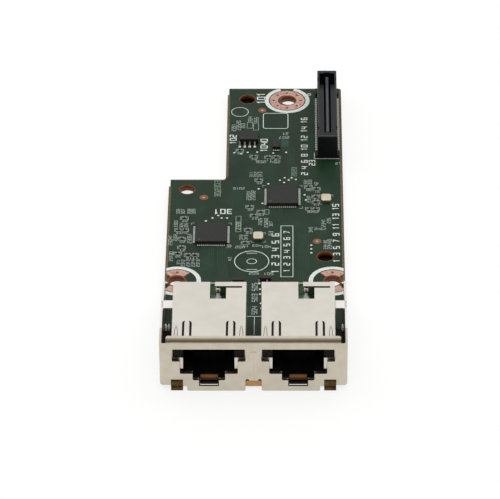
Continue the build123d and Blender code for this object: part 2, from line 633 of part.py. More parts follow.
def mezz_housing():
    x = mezz_x()
    housing = rise(window(band(x, MEZZ_WIDTH), (MEZZ_FRONT, MEZZ_REAR)), MEZZ_STANDOFF, MEZZ_HEIGHT)
    housing = chamfer(housing.faces().sort_by(Axis.Z)[-1].edges(), MEZZ_CHAMFER)
    for foot in ((MEZZ_FRONT, MEZZ_FRONT + MEZZ_FOOT), (MEZZ_REAR - MEZZ_FOOT, MEZZ_REAR)):
        housing += rise(window(band(x, MEZZ_FOOT_WIDTH), foot), 0, MEZZ_FOOT_HEIGHT)
    well = (MEZZ_FRONT + MEZZ_WELL_FRONT, MEZZ_REAR - MEZZ_WELL_REAR)
    housing -= rise(window(band(x, MEZZ_WELL_WIDTH), well), MEZZ_WELL_FLOOR, MEZZ_HEIGHT)
    blade = window(band(x, MEZZ_BLADE_WIDTH), (well[0] + MEZZ_BLADE_END, well[1] - MEZZ_BLADE_END))
    blade = rise(blade, MEZZ_WELL_FLOOR, MEZZ_BLADE_TOP)
    housing += chamfer(blade.faces().sort_by(Axis.Z)[-1].edges(), MEZZ_BLADE_WIDTH / 5)
    span = MEZZ_SPAN + 2 * MEZZ_CONTACT_WIDTH
    for way in (-1, 1):
        slot = sorted((x + way * MEZZ_BLADE_WIDTH / 2, x + way * MEZZ_WELL_WIDTH / 2))
        housing -= rise(window(slot, band(MEZZ_MIDDLE, span)), MEZZ_STANDOFF, MEZZ_WELL_FLOOR)
        wall = x + way * (MEZZ_WIDTH - MEZZ_KEY) / 2
        for key in (MEZZ_FRONT + MEZZ_KEY_INSET, MEZZ_REAR - MEZZ_KEY_INSET):
            groove = window(band(wall, MEZZ_KEY), band(key, MEZZ_KEY_LENGTH))
            housing -= rise(groove, MEZZ_WELL_FLOOR, MEZZ_HEIGHT)
    return housing


def mezz_contacts(side):
    way = SIDES[side]
    leg = MEZZ_BLADE_WIDTH / 2 + MEZZ_CONTACT_GAP + MEZZ_CONTACT_STRIP / 2
    half = MEZZ_CONTACT_STRIP / 2
    line = Polyline((mezz_x() + way * MEZZ_TAIL_REACH, half), (mezz_x() + way * leg, half),
                    (mezz_x() + way * leg, MEZZ_CONTACT_TOP))
    section = trace(line, MEZZ_CONTACT_STRIP)
    places = [MEZZ_MIDDLE + y for y in row(MEZZ_CONTACTS, MEZZ_PITCH)]
    return [deepen(section, *band(y, MEZZ_CONTACT_WIDTH)) for y in places]


# Chips and the small parts round them

def chip_body(place):
    outline = Pos(*place) * Rectangle(CHIP_SIDE, CHIP_SIDE)
    return extrude(top_plane() * outline, CHIP_HEIGHT, taper=CHIP_DRAFT)


def terminal_row(place, along, count, pitch, edge):
    # terminals stand out of one side, edge mm from the chip's middle, spread across it
    terminals = []
    for step in row(count, pitch):
        for way in (-1, 1):
            out = way * (edge + TERMINAL_REACH / 2)
            x, y = (step, out) if along == "x" else (out, step)
            size = (TERMINAL_WIDTH, TERMINAL_REACH) if along == "x" else (TERMINAL_REACH, TERMINAL_WIDTH)
            pad = Pos(place[0] + x, place[1] + y) * Rectangle(*size)
            terminals.append(rise(pad, 0, TERMINAL_THICKNESS))
    return terminals


def chip_terminals(place):
    rows = [terminal_row(place, along, CHIP_TERMINALS, CHIP_PITCH, CHIP_SIDE / 2) for along in ("x", "y")]
    return rows[0] + rows[1]


def gull_lead(span, body, height, foot):
    # from the parting line of a body out and down to a foot on the board
    low = LEAD_STRIP / 2
    knee = span - foot
    shoulder = (body + knee) / 2
    return trace(Polyline((body, height), (shoulder, height), (knee, low), (span, low)), LEAD_STRIP)


def moulded_body(place, width, depth, height):
    # both halves lean in from the parting line
    parting = top_plane(BODY_LIFT + height / 2) * (Pos(*place) * Rectangle(width, depth))
    upper = extrude(parting, height / 2, taper=BODY_DRAFT)
    return upper + extrude(parting, -height / 2, taper=BODY_DRAFT)


def memory_chip_body():
    return moulded_body(MEMORY_CHIP, MEMORY_LENGTH, MEMORY_WIDTH, MEMORY_HEIGHT)


def memory_chip_leads():
    section = gull_lead(LEAD_SPAN / 2, MEMORY_WIDTH / 2, BODY_LIFT + MEMORY_HEIGHT / 2, LEAD_FOOT)
    leads = []
    for way in (-1, 1):
        profile = Pos(MEMORY_CHIP[1], 0) * (section if way > 0 else mirror(section, Plane.YZ))
        leads += [widen(profile, band(MEMORY_CHIP[0] + x, LEAD_WIDTH)) for x in row(4, LEAD_PITCH)]
    return leads


def regulator_body():
    width, length, height = REGULATOR_SIZE
    body = rise(Pos(*REGULATOR) * Rectangle(width, length), 0, height)
    return chamfer(body.faces().sort_by(Axis.Z)[-1].edges(), height / 12)


def regulator_terminals():
    return terminal_row(REGULATOR, "x", REGULATOR_TERMINALS, REGULATOR_PITCH, REGULATOR_SIZE[1] / 2)


def crystal_bases():
    outline = [Pos(*place) * Rectangle(*CRYSTAL_SIZE) for place in CRYSTALS]
    return [rise(chamfer(face.vertices(), CRYSTAL_CORNER), 0, CRYSTAL_BASE) for face in outline]


def crystal_lids():
    width, length = (size - 2 * CRYSTAL_RIM for size in CRYSTAL_SIZE)
    outline = [Pos(*place) * Rectangle(width, length) for place in CRYSTALS]
    top = CRYSTAL_BASE + CRYSTAL_LID
    return [rise(chamfer(face.vertices(), CRYSTAL_CORNER), CRYSTAL_BASE, top) for face in outline]


def transistor_bodies():
    return [moulded_body(place, *TRANSISTOR_SIZE) for place in TRANSISTORS]


def transistor_leads():
    height = BODY_LIFT + TRANSISTOR_SIZE[2] / 2
    section = gull_lead(TRANSISTOR_SPAN / 2, TRANSISTOR_SIZE[1] / 2, height, TRANSISTOR_FOOT)
    leads = []
    for x, y in TRANSISTORS:
        front = Pos(y, 0) * mirror(section, Plane.YZ)
        leads += [widen(front, band(x + way * TRANSISTOR_PITCH, LEAD_WIDTH)) for way in (-1, 1)]
        leads.append(widen(Pos(y, 0) * section, band(x, LEAD_WIDTH)))
    return leads


def passive_bodies(places, height):
    length = CHIP_LENGTH - 2 * CHIP_END
    return [rise(Pos(*place) * Rectangle(length, CHIP_WIDTH), 0, height) for place in places]


def passive_ends(places, height):
    offset = (CHIP_LENGTH - CHIP_END) / 2
    ends = []
    for x, y in places:
        caps = [Pos(x + way * offset, y) * Rectangle(CHIP_END, CHIP_WIDTH) for way in (-1, 1)]
        ends += [rise(cap, 0, height) for cap in caps]
    return ends


# Every node by name

nodes = {"circuit_board": circuit_board(), "front_bracket": front_bracket(), "mezz_housing": mezz_housing()}
for name in SIDES:
    nodes["bracket_clip_" + name] = bracket_clip(name)
    nodes["jack_shield_" + name] = jack_shield(name)
    nodes["jack_housing_" + name] = jack_housing(name)
    nodes["jack_light_windows_" + name] = jack_light_windows(name)
    nodes["jack_contacts_" + name] = jack_contacts(name)
    nodes["jack_magnetics_" + name] = jack_magnetics(name)
    nodes["jack_inner_board_" + name] = jack_inner_board(name)
    nodes["jack_pins_" + name] = jack_pins(name)
    nodes["mezz_contacts_" + name] = mezz_contacts(name)
for name, chip_place in (("front_chip", FRONT_CHIP), ("rear_chip", REAR_CHIP)):
    nodes[name + "_body"] = chip_body(chip_place)
    nodes[name + "_terminals"] = chip_terminals(chip_place)
nodes["memory_chip_body"] = memory_chip_body()
nodes["memory_chip_leads"] = memory_chip_leads()
nodes["regulator_body"] = regulator_body()
nodes["regulator_terminals"] = regulator_terminals()
nodes["crystal_bases"] = crystal_bases()
nodes["crystal_lids"] = crystal_lids()
nodes["transistor_bodies"] = transistor_bodies()
nodes["transistor_leads"] = transistor_leads()
nodes["capacitor_bodies"] = passive_bodies(CAPACITORS, CAPACITOR_HEIGHT)
nodes["capacitor_ends"] = passive_ends(CAPACITORS, CAPACITOR_HEIGHT)
nodes["resistor_bodies"] = passive_bodies(RESISTORS, RESISTOR_HEIGHT)
nodes["resistor_ends"] = passive_ends(RESISTORS, RESISTOR_HEIGHT)

os.makedirs("parts", exist_ok=True)
for name, shape in nodes.items():
    solids = shape if isinstance(shape, list) else [shape]
    export_step(Compound(children=[s for piece in solids for s in piece.solids()]), "parts/" + name + ".step")
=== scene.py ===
import math
import bmesh
import bpy
from mathutils import Matrix, Vector


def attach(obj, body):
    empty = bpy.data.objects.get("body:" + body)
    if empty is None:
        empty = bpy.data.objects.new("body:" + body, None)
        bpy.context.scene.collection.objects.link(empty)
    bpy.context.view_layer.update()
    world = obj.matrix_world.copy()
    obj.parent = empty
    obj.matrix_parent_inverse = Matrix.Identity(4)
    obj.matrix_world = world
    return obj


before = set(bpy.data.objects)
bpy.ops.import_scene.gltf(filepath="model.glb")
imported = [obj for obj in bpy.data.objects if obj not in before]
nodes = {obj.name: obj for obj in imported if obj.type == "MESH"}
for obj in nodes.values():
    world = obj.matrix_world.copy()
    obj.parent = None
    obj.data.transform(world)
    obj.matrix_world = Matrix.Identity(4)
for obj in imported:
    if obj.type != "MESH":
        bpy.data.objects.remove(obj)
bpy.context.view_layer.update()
print("frame loaded with", len(nodes), "nodes")

# the card's own places, in mm: x across, setback behind the panel, height over the board's top
card = {"panelY": -61.86, "boardTop": 2.5, "half": 21.875, "narrowEdge": -7.625, "step": 82.5, "rear": 124.0,
        "thickness": 1.6, "screws": [(8.125, 118.4), (-18.875, 39.6), (18.875, 39.6)], "screwHole": 2.05,
        "locators": [(-2.455, 119.0, 2.05), (-17.225, 78.1, 1.95), (17.175, 49.7, 2.05)],
        "rearLand": (7.85, 118.4), "sights": [(1.4, 113.8), (-13.0, 74.7), (15.2, 56.0)],
        "connectorX": 18.145}
half, narrow, step, rear = card["half"], card["narrowEdge"], card["step"], card["rear"]
screws = card["screws"]


def spot(x, setback, height=0.0):
    return Vector((x, card["panelY"] + setback, card["boardTop"] + height)) / 1000


def hexToLinear(code):
    parts = [int(code[i:i + 2], 16) / 255 for i in (1, 3, 5)]
    return [p / 12.92 if p <= 0.04045 else ((p + 0.055) / 1.055) ** 2.4 for p in parts] + [1.0]


# materials: sizes of patterns in mm, places on the card in the frame's own metres

def addNode(tree, kind, inputs=None, to=None, stops=(), **settings):
    # an input takes a value, a hex colour, a node or one named output of a node; to is a socket further on
    node = tree.nodes.new(kind)
    for key, value in settings.items():
        setattr(node, key, value)
    for key, value in (inputs or {}).items():
        source = value if isinstance(value, tuple) else (value, 0)
        if isinstance(source[0], bpy.types.Node):
            tree.links.new(source[0].outputs[source[1]], node.inputs[key])
        else:
            node.inputs[key].default_value = hexToLinear(value) if isinstance(value, str) else value
    for i, (place, colour) in enumerate(stops):
        node.color_ramp.elements[i].position = place
        node.color_ramp.elements[i].color = hexToLinear(colour)
    if to:
        tree.links.new(node.outputs[0], to[0].inputs[to[1]])
    return node


def perMm(size):
    return 1000.0 / size  # noise scale that gives features about this many mm across


finishes = {}
mottle = {"cloudDetail": 3.0, "cloudFrom": 0.35, "cloudTo": 0.65, "grainDetail": 4.0, "grainFrom": 0.3,
          "grainTo": 0.7, "grainDepth": 0.0001}


def newFinish(key, name, dark, light, blotch, grain, bump, rough, stretch=(1, 1, 1), **sockets):
    # blotch and grain are sizes in mm; the grain both bumps the surface and breaks up its gloss
    finish = bpy.data.materials.new(name)
    finish.use_nodes = True
    tree = finish.node_tree
    shader = tree.nodes["Principled BSDF"]
    for socket, value in sockets.items():
        shader.inputs[socket.replace("_", " ")].default_value = value
    where = addNode(tree, "ShaderNodeTexCoord")
    cloud = addNode(tree, "ShaderNodeTexNoise", {"Vector": (where, "Object"), "Scale": perMm(blotch),
                                                 "Detail": mottle["cloudDetail"]})
    colour = addNode(tree, "ShaderNodeValToRGB", {"Fac": (cloud, "Fac")}, (shader, "Base Color"),
                     ((mottle["cloudFrom"], dark), (mottle["cloudTo"], light)))
    run = addNode(tree, "ShaderNodeMapping", {"Vector": (where, "Object"), "Scale": stretch})
    fine = addNode(tree, "ShaderNodeTexNoise", {"Vector": run, "Scale": perMm(grain),
                                                "Detail": mottle["grainDetail"]})
    gloss = addNode(tree, "ShaderNodeMapRange", {"Value": (fine, "Fac"), "From Min": mottle["grainFrom"],
                                                 "From Max": mottle["grainTo"], "To Min": rough[0],
                                                 "To Max": rough[1]}, (shader, "Roughness"))
    addNode(tree, "ShaderNodeBump", {"Height": (fine, "Fac"), "Strength": bump,
                                     "Distance": grain * mottle["grainDepth"]}, (shader, "Normal"))
    finishes[key] = finish
    return tree, shader, where, colour, gloss


# epoxy solder mask, flooded on and cured: deep grey-green, half gloss
# buried copper shows as faint brownish bands along the card
# the cut edge of the same board is glass laminate: tan and dull, in fine layers, with painted light making it
# paler on the tongue in front
mask = {"deep": "#13281A", "pale": "#1B3322", "brown": "#1C2A15", "band": 3.0, "bandStretch": (1.0, 0.06, 1.0),
        "bandDetail": 2.0, "bandFrom": 0.45, "bandTo": 0.7, "bandShare": 0.75, "edgeDark": "#7A5032",
        "edge": "#AC7F55", "litTongueEdge": "#D2A46C", "layer": 0.2, "layersPerWave": 20, "ripple": 0.6,
        "edgeDull": 0.4, "edgeSlope": 0.5, "tongueReach": 0.0042}
tree, shader, where, colour, gloss = newFinish(
    "mask", "solder_mask_on_laminate", mask["deep"], mask["pale"], 5.0, 0.5, 0.12, (0.36, 0.48), IOR=1.5,
    Specular_IOR_Level=0.15)
along = addNode(tree, "ShaderNodeMapping", {"Vector": (where, "Object"), "Scale": mask["bandStretch"]})
buried = addNode(tree, "ShaderNodeTexNoise", {"Vector": along, "Scale": perMm(mask["band"]),
                                              "Detail": mask["bandDetail"]})
share = addNode(tree, "ShaderNodeMapRange", {"Value": (buried, "Fac"), "From Min": mask["bandFrom"],
                                             "From Max": mask["bandTo"], "To Max": mask["bandShare"]})
banded = addNode(tree, "ShaderNodeMixRGB", {"Fac": share, "Color1": colour, "Color2": mask["brown"]})
layers = addNode(tree, "ShaderNodeTexWave", {"Vector": (where, "Object"), "Distortion": mask["ripple"],
                                             "Scale": perMm(mask["layer"]) / mask["layersPerWave"]},
                 bands_direction="Z")
edgeTone = addNode(tree, "ShaderNodeValToRGB", {"Fac": (layers, "Fac")},
                   stops=((0.0, mask["edgeDark"]), (1.0, mask["edge"])))
parts = addNode(tree, "ShaderNodeSeparateXYZ", {"Vector": (where, "Object")})
inMiddle = addNode(tree, "ShaderNodeMath", {0: (parts, "X"), 1: 0.0, 2: mask["tongueReach"]},
                   operation="COMPARE")
inFront = addNode(tree, "ShaderNodeMath", {0: (parts, "Y"), 1: 0.0}, operation="LESS_THAN")
onTongue = addNode(tree, "ShaderNodeMath", {0: inMiddle, 1: inFront}, operation="MULTIPLY")
# painted light: the edge of the tongue in front is paler
edgeTone = addNode(tree, "ShaderNodeMixRGB", {"Fac": onTongue, "Color1": edgeTone, "Color2": mask["litTongueEdge"]})
facing = addNode(tree, "ShaderNodeNewGeometry")
facingParts = addNode(tree, "ShaderNodeSeparateXYZ", {"Vector": (facing, "Normal")})
upright = addNode(tree, "ShaderNodeMath", {0: (facingParts, "Z")}, operation="ABSOLUTE")
isEdge = addNode(tree, "ShaderNodeMath", {0: upright, 1: mask["edgeSlope"]}, operation="LESS_THAN")
addNode(tree, "ShaderNodeMixRGB", {"Fac": isEdge, "Color1": banded, "Color2": edgeTone},
        (shader, "Base Color"))
addNode(tree, "ShaderNodeMath", {0: isEdge, 1: mask["edgeDull"], 2: gloss}, (shader, "Roughness"),
        operation="MULTIPLY_ADD")

# the same mask where it lies over a copper track: a shade lighter; over clear laminate: brighter, bluer green
newFinish("track", "solder_mask_over_track", "#1C3426", "#243F2D", 3.0, 0.4, 0.1, (0.34, 0.46), IOR=1.5,
          Specular_IOR_Level=0.15)
newFinish("clearMask", "solder_mask_over_clear_laminate", "#0D3827", "#124631", 1.5, 0.4, 0.1, (0.36, 0.48),
          IOR=1.5, Specular_IOR_Level=0.28)
# painted shade on the mask beside the jacks, in the deep bays: almost black
newFinish("bayShadeMask", "solder_mask_painted_shade", "#0C120D", "#171F18", 1.5, 0.3, 0.1, (0.45, 0.6), IOR=1.5,
          Specular_IOR_Level=0.08)
# mask on the small board inside a jack: a brighter green than the card's, with painted light making the strip
# beside each post paler and painted shade making it dark behind, under the rear of the shield
inner = {"strip": ("#6A9F82", "#83B299"), "litStripPlaces": (-0.0097, 0.0111), "litStripReach": 0.0008,
         "plain": "#2C5236", "shade": "#101F15", "shadeFrom": -0.0372, "shadeTo": -0.0357}
tree, shader, where, colour, gloss = newFinish(
    "innerMask", "solder_mask_on_thin_board_painted_light_and_shade", *inner["strip"], 1.2, 0.3, 0.1, (0.36, 0.5), IOR=1.5,
    Specular_IOR_Level=0.2)
parts = addNode(tree, "ShaderNodeSeparateXYZ", {"Vector": (where, "Object")})
# painted light: the pale strip beside each post
strips = [addNode(tree, "ShaderNodeMath", {0: (parts, "X"), 1: x, 2: inner["litStripReach"]}, operation="COMPARE")
          for x in inner["litStripPlaces"]]
inPaintedLight = addNode(tree, "ShaderNodeMath", dict(enumerate(strips)), operation="MAXIMUM")
ahead = addNode(tree, "ShaderNodeMixRGB", {"Fac": inPaintedLight, "Color1": inner["plain"], "Color2": colour})
# painted shade: dark behind, under the rear of the shield
behind = addNode(tree, "ShaderNodeMapRange", {"Value": (parts, "Y"), "From Min": inner["shadeFrom"],
                                              "From Max": inner["shadeTo"]})
addNode(tree, "ShaderNodeMixRGB", {"Fac": behind, "Color1": ahead, "Color2": inner["shade"]},
        (shader, "Base Color"))

# bare laminate where the mask stops short of the edge: brown and dull
newFinish("laminate", "bare_laminate", "#51462F", "#675B41", 0.8, 0.3, 0.2, (0.7, 0.9), IOR=1.5)
# copper plating in a drilled hole, under tarnish: red-brown, dull
newFinish("holeWall", "tarnished_hole_plating", "#592D11", "#7C481E", 0.5, 0.2, 0.2, (0.4, 0.6), Metallic=0.4)
# thin laminate over copper, bare of mask: amber
newFinish("amber", "amber_laminate_ring", "#633B19", "#7F5024", 0.4, 0.15, 0.1, (0.4, 0.6), IOR=1.5)

# zinc-plated sheet steel, rolled and folded: warm grey, satin, faint streaks along the roll
# the wings' upward faces carry a painted highlight: their colour is mixed towards white
zinc = {"white": "#EFEDE8", "wingFront": -0.0555, "upFrom": 0.8, "upTo": 0.98}
tree, shader, where, colour, gloss = newFinish(
    "steel", "zinc_plated_steel_painted_highlight", "#C5BCAB", "#CCC4B4", 2.5, 0.3, 0.05, (0.31, 0.38), (0.3, 1, 1),
    Metallic=1.0)
facing = addNode(tree, "ShaderNodeNewGeometry")
facingParts = addNode(tree, "ShaderNodeSeparateXYZ", {"Vector": (facing, "Normal")})
parts = addNode(tree, "ShaderNodeSeparateXYZ", {"Vector": (where, "Object")})
onWing = addNode(tree, "ShaderNodeMath", {0: (parts, "Y"), 1: zinc["wingFront"]}, operation="GREATER_THAN")
# painted highlight, by how far each face on the wings turns up
paintedHighlight = addNode(tree, "ShaderNodeMapRange", {"Value": (facingParts, "Z"), "From Min": zinc["upFrom"],
                                              "From Max": zinc["upTo"], "To Max": onWing})
addNode(tree, "ShaderNodeMixRGB", {"Fac": paintedHighlight, "Color1": colour, "Color2": zinc["white"]},
        (shader, "Base Color"))
# tin-plated thin sheet: pale, soft mirror, slightly mottled
newFinish("tin", "tin_plated_sheet", "#D6D2C7", "#DDD8CF", 4.0, 0.3, 0.03, (0.33, 0.38), Metallic=1.0)
# spring bronze, rolled strip gone dark: brown, half gloss
newFinish("bronze", "dark_spring_bronze", "#43361B", "#5E4C28", 0.8, 0.1, 0.1, (0.32, 0.5), Metallic=1.0)

# glass-filled nylon, moulded: black, fine dull grain
newFinish("nylon", "black_glass_filled_nylon", "#0B0B0C", "#131415", 1.2, 0.12, 0.15, (0.42, 0.6), IOR=1.53,
          Specular_IOR_Level=0.14)
# painted shade for the slit in each shield: dead black, without gloss
newFinish("slitShade", "black_painted_shade", "#050505", "#0A0A0A", 0.8, 0.2, 0.1, (0.7, 0.85), IOR=1.5,
          Specular_IOR_Level=0.0)
# liquid-crystal polymer, moulded thin: black with a grey sheen on flat faces
# the blade between the contact rows is greyer
# the rear end of the top, inside the rim, has painted shade: blacker and without sheen
polymer = {"middle": card["connectorX"] / 1000, "sheen": 0.16, "blade": "#484C51", "bladeReach": 0.00045,
           "wellMiddle": 0.046, "wellReach": 0.0131, "dull": "#040506", "dullFrom": 0.0510, "dullTo": 0.0545,
           "rimReach": 0.00195, "rimRear": 0.0595}
tree, shader, where, colour, gloss = newFinish(
    "polymer", "black_crystal_polymer", "#101314", "#181B1C", 1.0, 0.12, 0.12, (0.34, 0.48), IOR=1.6,
    Specular_IOR_Level=polymer["sheen"])
parts = addNode(tree, "ShaderNodeSeparateXYZ", {"Vector": (where, "Object")})
inMiddle = addNode(tree, "ShaderNodeMath", {0: (parts, "X"), 1: polymer["middle"], 2: polymer["bladeReach"]},
                   operation="COMPARE")
inWell = addNode(tree, "ShaderNodeMath", {0: (parts, "Y"), 1: polymer["wellMiddle"], 2: polymer["wellReach"]},
                 operation="COMPARE")
onBlade = addNode(tree, "ShaderNodeMath", {0: inMiddle, 1: inWell}, operation="MULTIPLY")
bladeTone = addNode(tree, "ShaderNodeMixRGB", {"Fac": onBlade, "Color1": colour, "Color2": polymer["blade"]})
# painted shade at the rear end of the top, inside the rim
inRim = addNode(tree, "ShaderNodeMath", {0: (parts, "X"), 1: polymer["middle"], 2: polymer["rimReach"]},
                operation="COMPARE")
nearRear = addNode(tree, "ShaderNodeMapRange", {"Value": (parts, "Y"), "From Min": polymer["dullFrom"],
                                                "From Max": polymer["dullTo"]})
rearShade = addNode(tree, "ShaderNodeMath", {0: nearRear, 1: inRim}, operation="MULTIPLY")
beforeRim = addNode(tree, "ShaderNodeMath", {0: (parts, "Y"), 1: polymer["rimRear"]}, operation="LESS_THAN")
rearShade = addNode(tree, "ShaderNodeMath", {0: rearShade, 1: beforeRim}, operation="MULTIPLY")
rearShadeBesideBlade = addNode(tree, "ShaderNodeMath", {0: rearShade, 1: onBlade}, operation="SUBTRACT", use_clamp=True)
addNode(tree, "ShaderNodeMixRGB", {"Fac": rearShadeBesideBlade, "Color1": bladeTone, "Color2": polymer["dull"]},
        (shader, "Base Color"))
# the painted shade also takes the sheen away
addNode(tree, "ShaderNodeMapRange", {"Value": rearShade, "To Min": polymer["sheen"], "To Max": 0.0},
        (shader, "Specular IOR Level"))
# the same polymer as a painted highlight: grey
newFinish("polymerHighlight", "crystal_polymer_painted_highlight", "#4C5054", "#5C6064", 0.5, 0.12, 0.1, (0.34, 0.48), IOR=1.6,
          Specular_IOR_Level=0.2)
# smoked polycarbonate light pipe: dark, glossy
newFinish("window", "smoked_polycarbonate", "#17110E", "#221A16", 1.5, 0.3, 0.05, (0.25, 0.36), IOR=1.58,
          Specular_IOR_Level=0.06)
# epoxy moulding compound: charcoal, matt, sparkled by its filler
newFinish("epoxy", "epoxy_moulding_compound", "#151714", "#20231F", 0.4, 0.12, 0.25, (0.48, 0.65), IOR=1.55,
          Specular_IOR_Level=0.28)
# the ejector dimple in that epoxy: smoother, so a little darker
newFinish("dimple", "polished_epoxy", "#131415", "#1B1D1D", 0.3, 0.1, 0.05, (0.25, 0.35), IOR=1.55)

# tinned copper lead: pale, soft gloss
newFinish("lead", "tinned_copper", "#C4C4BE", "#D6D6D1", 0.5, 0.1, 0.08, (0.24, 0.38), Metallic=1.0)
# solder, reflowed: bright, smooth, slightly frosted
newFinish("solder", "reflowed_solder", "#D6D7D3", "#EAEBE8", 0.3, 0.12, 0.1, (0.25, 0.38), Metallic=0.7)
# solder on the small parts, reflowed without lead: grey and duller
newFinish("dullSolder", "lead_free_solder", "#8C8E89", "#A7A9A4", 0.3, 0.12, 0.1, (0.35, 0.5), Metallic=0.7)
# hand-soldered joint, cooled slowly: frosted and almost white
newFinish("frostedSolder", "frosted_solder", "#F2F3F0", "#FCFCFB", 0.4, 0.2, 0.1, (0.35, 0.5), Metallic=0.15)
# enamelled winding wire: brown copper with a glossy skin
newFinish("wire", "enamelled_copper_wire", "#9A5A2C", "#BE7C45", 0.3, 0.15, 0.05, (0.2, 0.32), Metallic=0.6)
# bare copper land with a thin protective film: salmon pink, satin, speckled
newFinish("copper", "filmed_copper", "#AE8274", "#D6B3A6", 0.45, 0.15, 0.12, (0.38, 0.52), Metallic=1.0)
# copper seen down a small plated hole: dark red
newFinish("viaHole", "shaded_copper_hole", "#420B0A", "#5C1512", 0.2, 0.1, 0.1, (0.5, 0.7))
# screen-printed epoxy ink: off-white, dull; printed thin in the small marks; and a worn printing of it
newFinish("ink", "screen_printed_ink", "#BCC6BF", "#DAE1DC", 0.5, 0.12, 0.1, (0.58, 0.75), IOR=1.5)
newFinish("thinInk", "thin_printed_ink", "#8F9C94", "#B0BBB3", 0.4, 0.12, 0.1, (0.58, 0.75), IOR=1.5)
newFinish("faintInk", "worn_printed_ink", "#4E6456", "#71867A", 0.4, 0.12, 0.1, (0.58, 0.75), IOR=1.5)

# hard gold over nickel on the contact legs, tin on the soldered tails below
strip = {"tin": "#DCDCD8", "tailTop": 0.0031, "tailTin": "#E6E6E2", "tailReach": 0.00264, "pinTin": "#CDCDC8",
         "pinTop": 0.008}
tree, shader, where, colour, gloss = newFinish(
    "gold", "gold_and_tin_plated_strip", "#C0985A", "#CFAC6E", 0.5, 0.15, 0.06, (0.24, 0.36), Metallic=1.0)
parts = addNode(tree, "ShaderNodeSeparateXYZ", {"Vector": (where, "Object")})
isTail = addNode(tree, "ShaderNodeMath", {0: (parts, "Z"), 1: strip["tailTop"]}, operation="LESS_THAN")
addNode(tree, "ShaderNodeMixRGB", {"Fac": isTail, "Color1": colour, "Color2": strip["tin"]},
        (shader, "Base Color"))
# contacts of the tall connector: legs and the inner part of the tails painted dark as shade, bright tin only
# at the ends of the tails
tree, shader, where, colour, gloss = newFinish(
    "shadedStrip", "contact_strip_painted_shade", "#2C2C2D", "#3A3A3B", 0.5, 0.15, 0.06, (0.3, 0.42),
    Metallic=1.0)
parts = addNode(tree, "ShaderNodeSeparateXYZ", {"Vector": (where, "Object")})
# painted shade: dark within this reach of the middle, tin beyond it
inside = addNode(tree, "ShaderNodeMath", {0: (parts, "X"), 1: polymer["middle"], 2: strip["tailReach"]},
                 operation="COMPARE")
addNode(tree, "ShaderNodeMixRGB", {"Fac": inside, "Color1": strip["tailTin"], "Color2": colour},
        (shader, "Base Color"))
# tinned pins below, a brass post above them
tree, shader, where, colour, gloss = newFinish(
    "pinAndPost", "tinned_and_brass_pins", "#B98F4E", "#CBA468", 0.4, 0.1, 0.06, (0.26, 0.4), Metallic=1.0)
parts = addNode(tree, "ShaderNodeSeparateXYZ", {"Vector": (where, "Object")})
isPin = addNode(tree, "ShaderNodeMath", {0: (parts, "Z"), 1: strip["pinTop"]}, operation="LESS_THAN")
addNode(tree, "ShaderNodeMixRGB", {"Fac": isPin, "Color1": colour, "Color2": strip["pinTin"]},
        (shader, "Base Color"))

# alumina base of a crystal: brown and dull; its plated lid: cream metal, satin
newFinish("alumina", "brown_alumina", "#3D342A", "#544839", 0.3, 0.1, 0.15, (0.5, 0.7), IOR=1.7)
newFinish("lid", "nickel_plated_lid", "#CBC2AD", "#D9D1BF", 0.6, 0.1, 0.08, (0.34, 0.48), Metallic=1.0)
# barium titanate of a chip capacitor: dark brown, fired, faintly glossy
newFinish("titanate", "fired_titanate", "#3E3024", "#574433", 0.2, 0.1, 0.15, (0.42, 0.6), IOR=1.8)
# glazed film resistor: black glassy top
newFinish("glaze", "black_resistor_glaze", "#141416", "#1F1F22", 0.2, 0.1, 0.1, (0.28, 0.44), IOR=1.5)
print("materials made:", len(finishes))

nodeFinish = {"circuit_board": "mask", "front_bracket": "steel", "mezz_housing": "polymer",
              "memory_chip_body": "epoxy", "memory_chip_leads": "lead", "regulator_body": "epoxy",
              "regulator_terminals": "lead", "crystal_bases": "alumina", "crystal_lids": "lid",
              "transistor_bodies": "epoxy", "transistor_leads": "lead", "capacitor_bodies": "titanate",
              "capacitor_ends": "dullSolder", "resistor_bodies": "glaze", "resistor_ends": "dullSolder",
              "front_chip_body": "epoxy", "rear_chip_body": "epoxy", "front_chip_terminals": "lead",
              "rear_chip_terminals": "lead"}
sideFinish = {"bracket_clip": "bronze", "jack_shield": "tin", "jack_housing": "nylon",
              "jack_light_windows": "window", "jack_contacts": "gold", "jack_magnetics": "nylon",
              "jack_inner_board": "innerMask", "jack_pins": "pinAndPost", "mezz_contacts": "shadedStrip"}
for name, node in nodes.items():
    key = nodeFinish.get(name) or sideFinish[name.rsplit("_", 1)[0]]
    node.data.materials.clear()
    node.data.materials.append(finishes[key])


weld = 2e-7  # points closer than this, in metres, become one

# flat shapes for the printed layers, each a list of outlines in mm

def bar(x0, y0, x1, y1):
    return [[(x0, y0), (x1, y0), (x1, y1), (x0, y1)]]


def disc(x, y, radius, steps=20):
    turn = 2 * math.pi / steps
    return [[(x + radius * math.cos(i * turn), y + radius * math.sin(i * turn)) for i in range(steps)]]


def oval(x, y, outer, width, start=0.0, end=360.0, steps=60):
    # a band inside the oval of the half-sizes in outer, all round or from one angle to another
    angles = [math.radians(start + (end - start) * i / steps) for i in range(steps + 1)]
    rays = [(math.cos(a), math.sin(a)) for a in angles]
    inner = (outer[0] - width, outer[1] - width)
    return [[(x + a * c, y + b * s) for (a, b), (c, s) in ((inner, p), (outer, p), (outer, q), (inner, q))]
            for p, q in zip(rays, rays[1:])]


def ring(x, y, inner, outer, start=0.0, end=360.0, steps=60):
    return oval(x, y, (outer, outer), outer - inner, start, end, steps)


sharpest = 0.3  # keeps the point of a sharp corner in a stroke from running far out


